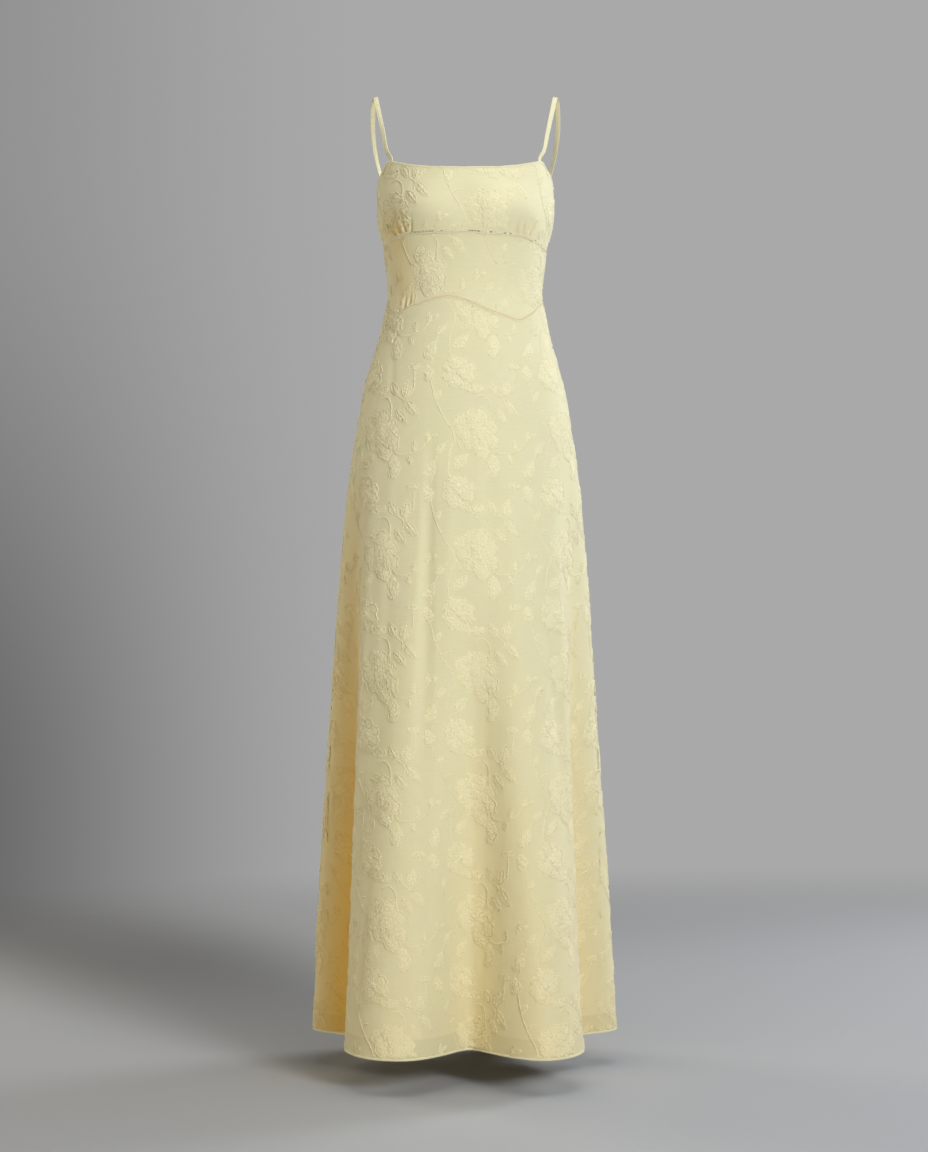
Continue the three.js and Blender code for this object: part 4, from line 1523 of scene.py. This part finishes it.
class DRESS_OT_stage(bpy.types.Operator):
    """Sets the pale floor, the soft studio lights and the camera"""

    bl_idname = "dress.stage"
    bl_label = "Stage"

    def execute(self, context):
        self.floor()
        self.world()
        for lamp in LAMPS:
            self.light(*lamp)
        self.camera()
        return {"FINISHED"}

    def floor(self):
        """Pale round floor that fades out at its rim, with the dress's long soft shadow painted on it."""
        bpy.ops.object.select_all(action="DESELECT")
        z = HEM_Z * MM - sizes().floor_drop
        bpy.ops.mesh.primitive_circle_add(vertices=96, radius=FLOOR_REACH, fill_type="NGON",
                                          location=(*FLOOR_MIDDLE, z))
        floor = bpy.context.object
        floor.name = "floor"
        bpy.ops.object.transform_apply(location=True, rotation=False, scale=False)
        material, tree = empty_material("studio_floor")
        place = add_node(tree, "ShaderNodeTexCoord").outputs["Object"]
        centred = add_node(tree, "ShaderNodeMapping", {
            "Vector": place, "Location": (*FLOOR_MIDDLE, z)
        }, vector_type="TEXTURE")
        distance = add_node(tree, "ShaderNodeVectorMath", {0: centred.outputs["Vector"]}, operation="LENGTH")
        fade = add_node(tree, "ShaderNodeMapRange", {
            "Value": distance.outputs["Value"], "From Min": FLOOR_REACH * FLOOR_FADE[0],
            "From Max": FLOOR_REACH * FLOOR_FADE[1], "To Min": 1.0, "To Max": 0.0
        }, interpolation_type="SMOOTHSTEP")
        shade = add_node(tree, "ShaderNodeMapping", {
            "Vector": place, "Location": (*SHADE_MIDDLE, z), "Rotation": (0, 0, SHADE_TURN),
            "Scale": (*SHADE_HALF, 1)
        }, vector_type="TEXTURE")
        reach = add_node(tree, "ShaderNodeVectorMath", {0: shade.outputs["Vector"]}, operation="LENGTH")
        painted_shadow = add_node(tree, "ShaderNodeMapRange", {
            "Value": reach.outputs["Value"], "From Min": 0.15, "From Max": 1.0, "To Min": 1.0,
            "To Max": 0.0
        }, interpolation_type="SMOOTHSTEP")
        tone = add_node(tree, "ShaderNodeMix", {
            "Factor": painted_shadow.outputs["Result"], "A": tint(colours().floor, 1),
            "B": tint(colours().floor, PAINTED_SHADOW_TONE)
        }, data_type="RGBA")
        shader = add_node(tree, "ShaderNodeBsdfPrincipled", {
            "Base Color": tone.outputs["Result"], "Roughness": 0.85, "Alpha": fade.outputs["Result"]
        })
        add_node(tree, "ShaderNodeOutputMaterial", {"Surface": shader.outputs["BSDF"]})
        floor.data.materials.append(material)

    def world(self):
        """Grey studio air: seen, it has shade painted on it that grows lighter to the right, and it lights
        the dress evenly.
        """
        world = bpy.context.scene.world or bpy.data.worlds.new("studio")
        bpy.context.scene.world = world
        world.use_nodes = True
        tree = world.node_tree
        tree.nodes.clear()
        aim = add_node(tree, "ShaderNodeTexCoord").outputs["Generated"]
        parts = add_node(tree, "ShaderNodeSeparateXYZ", {"Vector": aim})
        across, high = (
            add_node(tree, "ShaderNodeMapRange", {
                "Value": parts.outputs[axis], "From Min": start, "From Max": end, "To Min": 0.0,
                "To Max": 1.0
            }, interpolation_type="SMOOTHSTEP")
            for axis, (start, end) in (("X", WALL_ACROSS), ("Z", WALL_UP))
        )
        # Painted shade: the seen wall is darker to the left, most at its lower left.
        left = add_node(tree, "ShaderNodeMix", {
            "Factor": high.outputs["Result"], "A": tint(colours().wall, WALL_LOW),
            "B": tint(colours().wall, WALL_HIGH)
        }, data_type="RGBA")
        wall = add_node(tree, "ShaderNodeMix", {
            "Factor": across.outputs["Result"], "A": left.outputs["Result"], "B": tint(colours().wall, 1)
        }, data_type="RGBA")
        seen = add_node(tree, "ShaderNodeBackground", {"Color": wall.outputs["Result"], "Strength": 1.0})
        even = tint(colours().wall, 1)
        felt = add_node(tree, "ShaderNodeBackground", {"Color": even, "Strength": AIR_STRENGTH})
        ray = add_node(tree, "ShaderNodeLightPath")
        mix = add_node(tree, "ShaderNodeMixShader", {
            "Fac": ray.outputs["Is Camera Ray"], 1: felt.outputs["Background"],
            2: seen.outputs["Background"]
        })
        add_node(tree, "ShaderNodeOutputWorld", {"Surface": mix.outputs["Shader"]})

    def light(self, name, place, size, power, hex_colour):
        """Round soft box that points at the middle of the dress."""
        data = bpy.data.lights.new(name, "AREA")
        data.shape = "DISK"
        data.size = size
        data.energy = power
        data.color = linear(hex_colour)
        lamp = bpy.data.objects.new(name, data)
        lamp.location = place
        lamp.rotation_euler = (LAMP_AIM - Vector(place)).to_track_quat("-Z", "Y").to_euler()
        bpy.context.scene.collection.objects.link(lamp)

    def camera(self):
        """Camera level with the middle of the dress."""
        data = bpy.data.cameras.new("eye")
        data.lens = LENS
        data.sensor_width = SENSOR
        camera = bpy.data.objects.new("eye", data)
        camera.location = (EYE_SHIFT, -EYE_DISTANCE, EYE_HEIGHT)
        camera.rotation_euler = (math.radians(90), 0, 0)
        bpy.context.scene.collection.objects.link(camera)
        bpy.context.scene.camera = camera
        bpy.context.scene.view_settings.view_transform = "Standard"


class DRESS_PT_panel(bpy.types.Panel):
    """Lists the pieces of the dress in the sidebar"""

    bl_label = "Maxi Dress"
    bl_space_type = "VIEW_3D"
    bl_region_type = "UI"
    bl_category = "Dress"

    def draw(self, context):
        for operator in OPERATORS:
            self.layout.operator(operator.bl_idname)


OPERATORS = (
    DRESS_OT_bodice,
    DRESS_OT_skirt,
    DRESS_OT_lining,
    DRESS_OT_straps,
    DRESS_OT_edges,
    DRESS_OT_ladder_trims,
    DRESS_OT_figure,
    DRESS_OT_stage,
)


def register():
    for cls in (DressSizes, DressColours, *OPERATORS, DRESS_PT_panel):
        bpy.utils.register_class(cls)
    bpy.types.Scene.dress_sizes = bpy.props.PointerProperty(type=DressSizes)
    bpy.types.Scene.dress_colours = bpy.props.PointerProperty(type=DressColours)


def unregister():
    del bpy.types.Scene.dress_colours
    del bpy.types.Scene.dress_sizes
    for cls in (DRESS_PT_panel, *reversed(OPERATORS), DressColours, DressSizes):
        bpy.utils.unregister_class(cls)


def main():
    register()
    bpy.ops.dress.bodice()
    bpy.ops.dress.skirt()
    bpy.ops.dress.lining()
    bpy.ops.dress.straps()
    bpy.ops.dress.edges()
    bpy.ops.dress.ladder_trims()
    bpy.ops.dress.figure()
    bpy.ops.dress.stage()


if __name__ == "__main__":
    main()
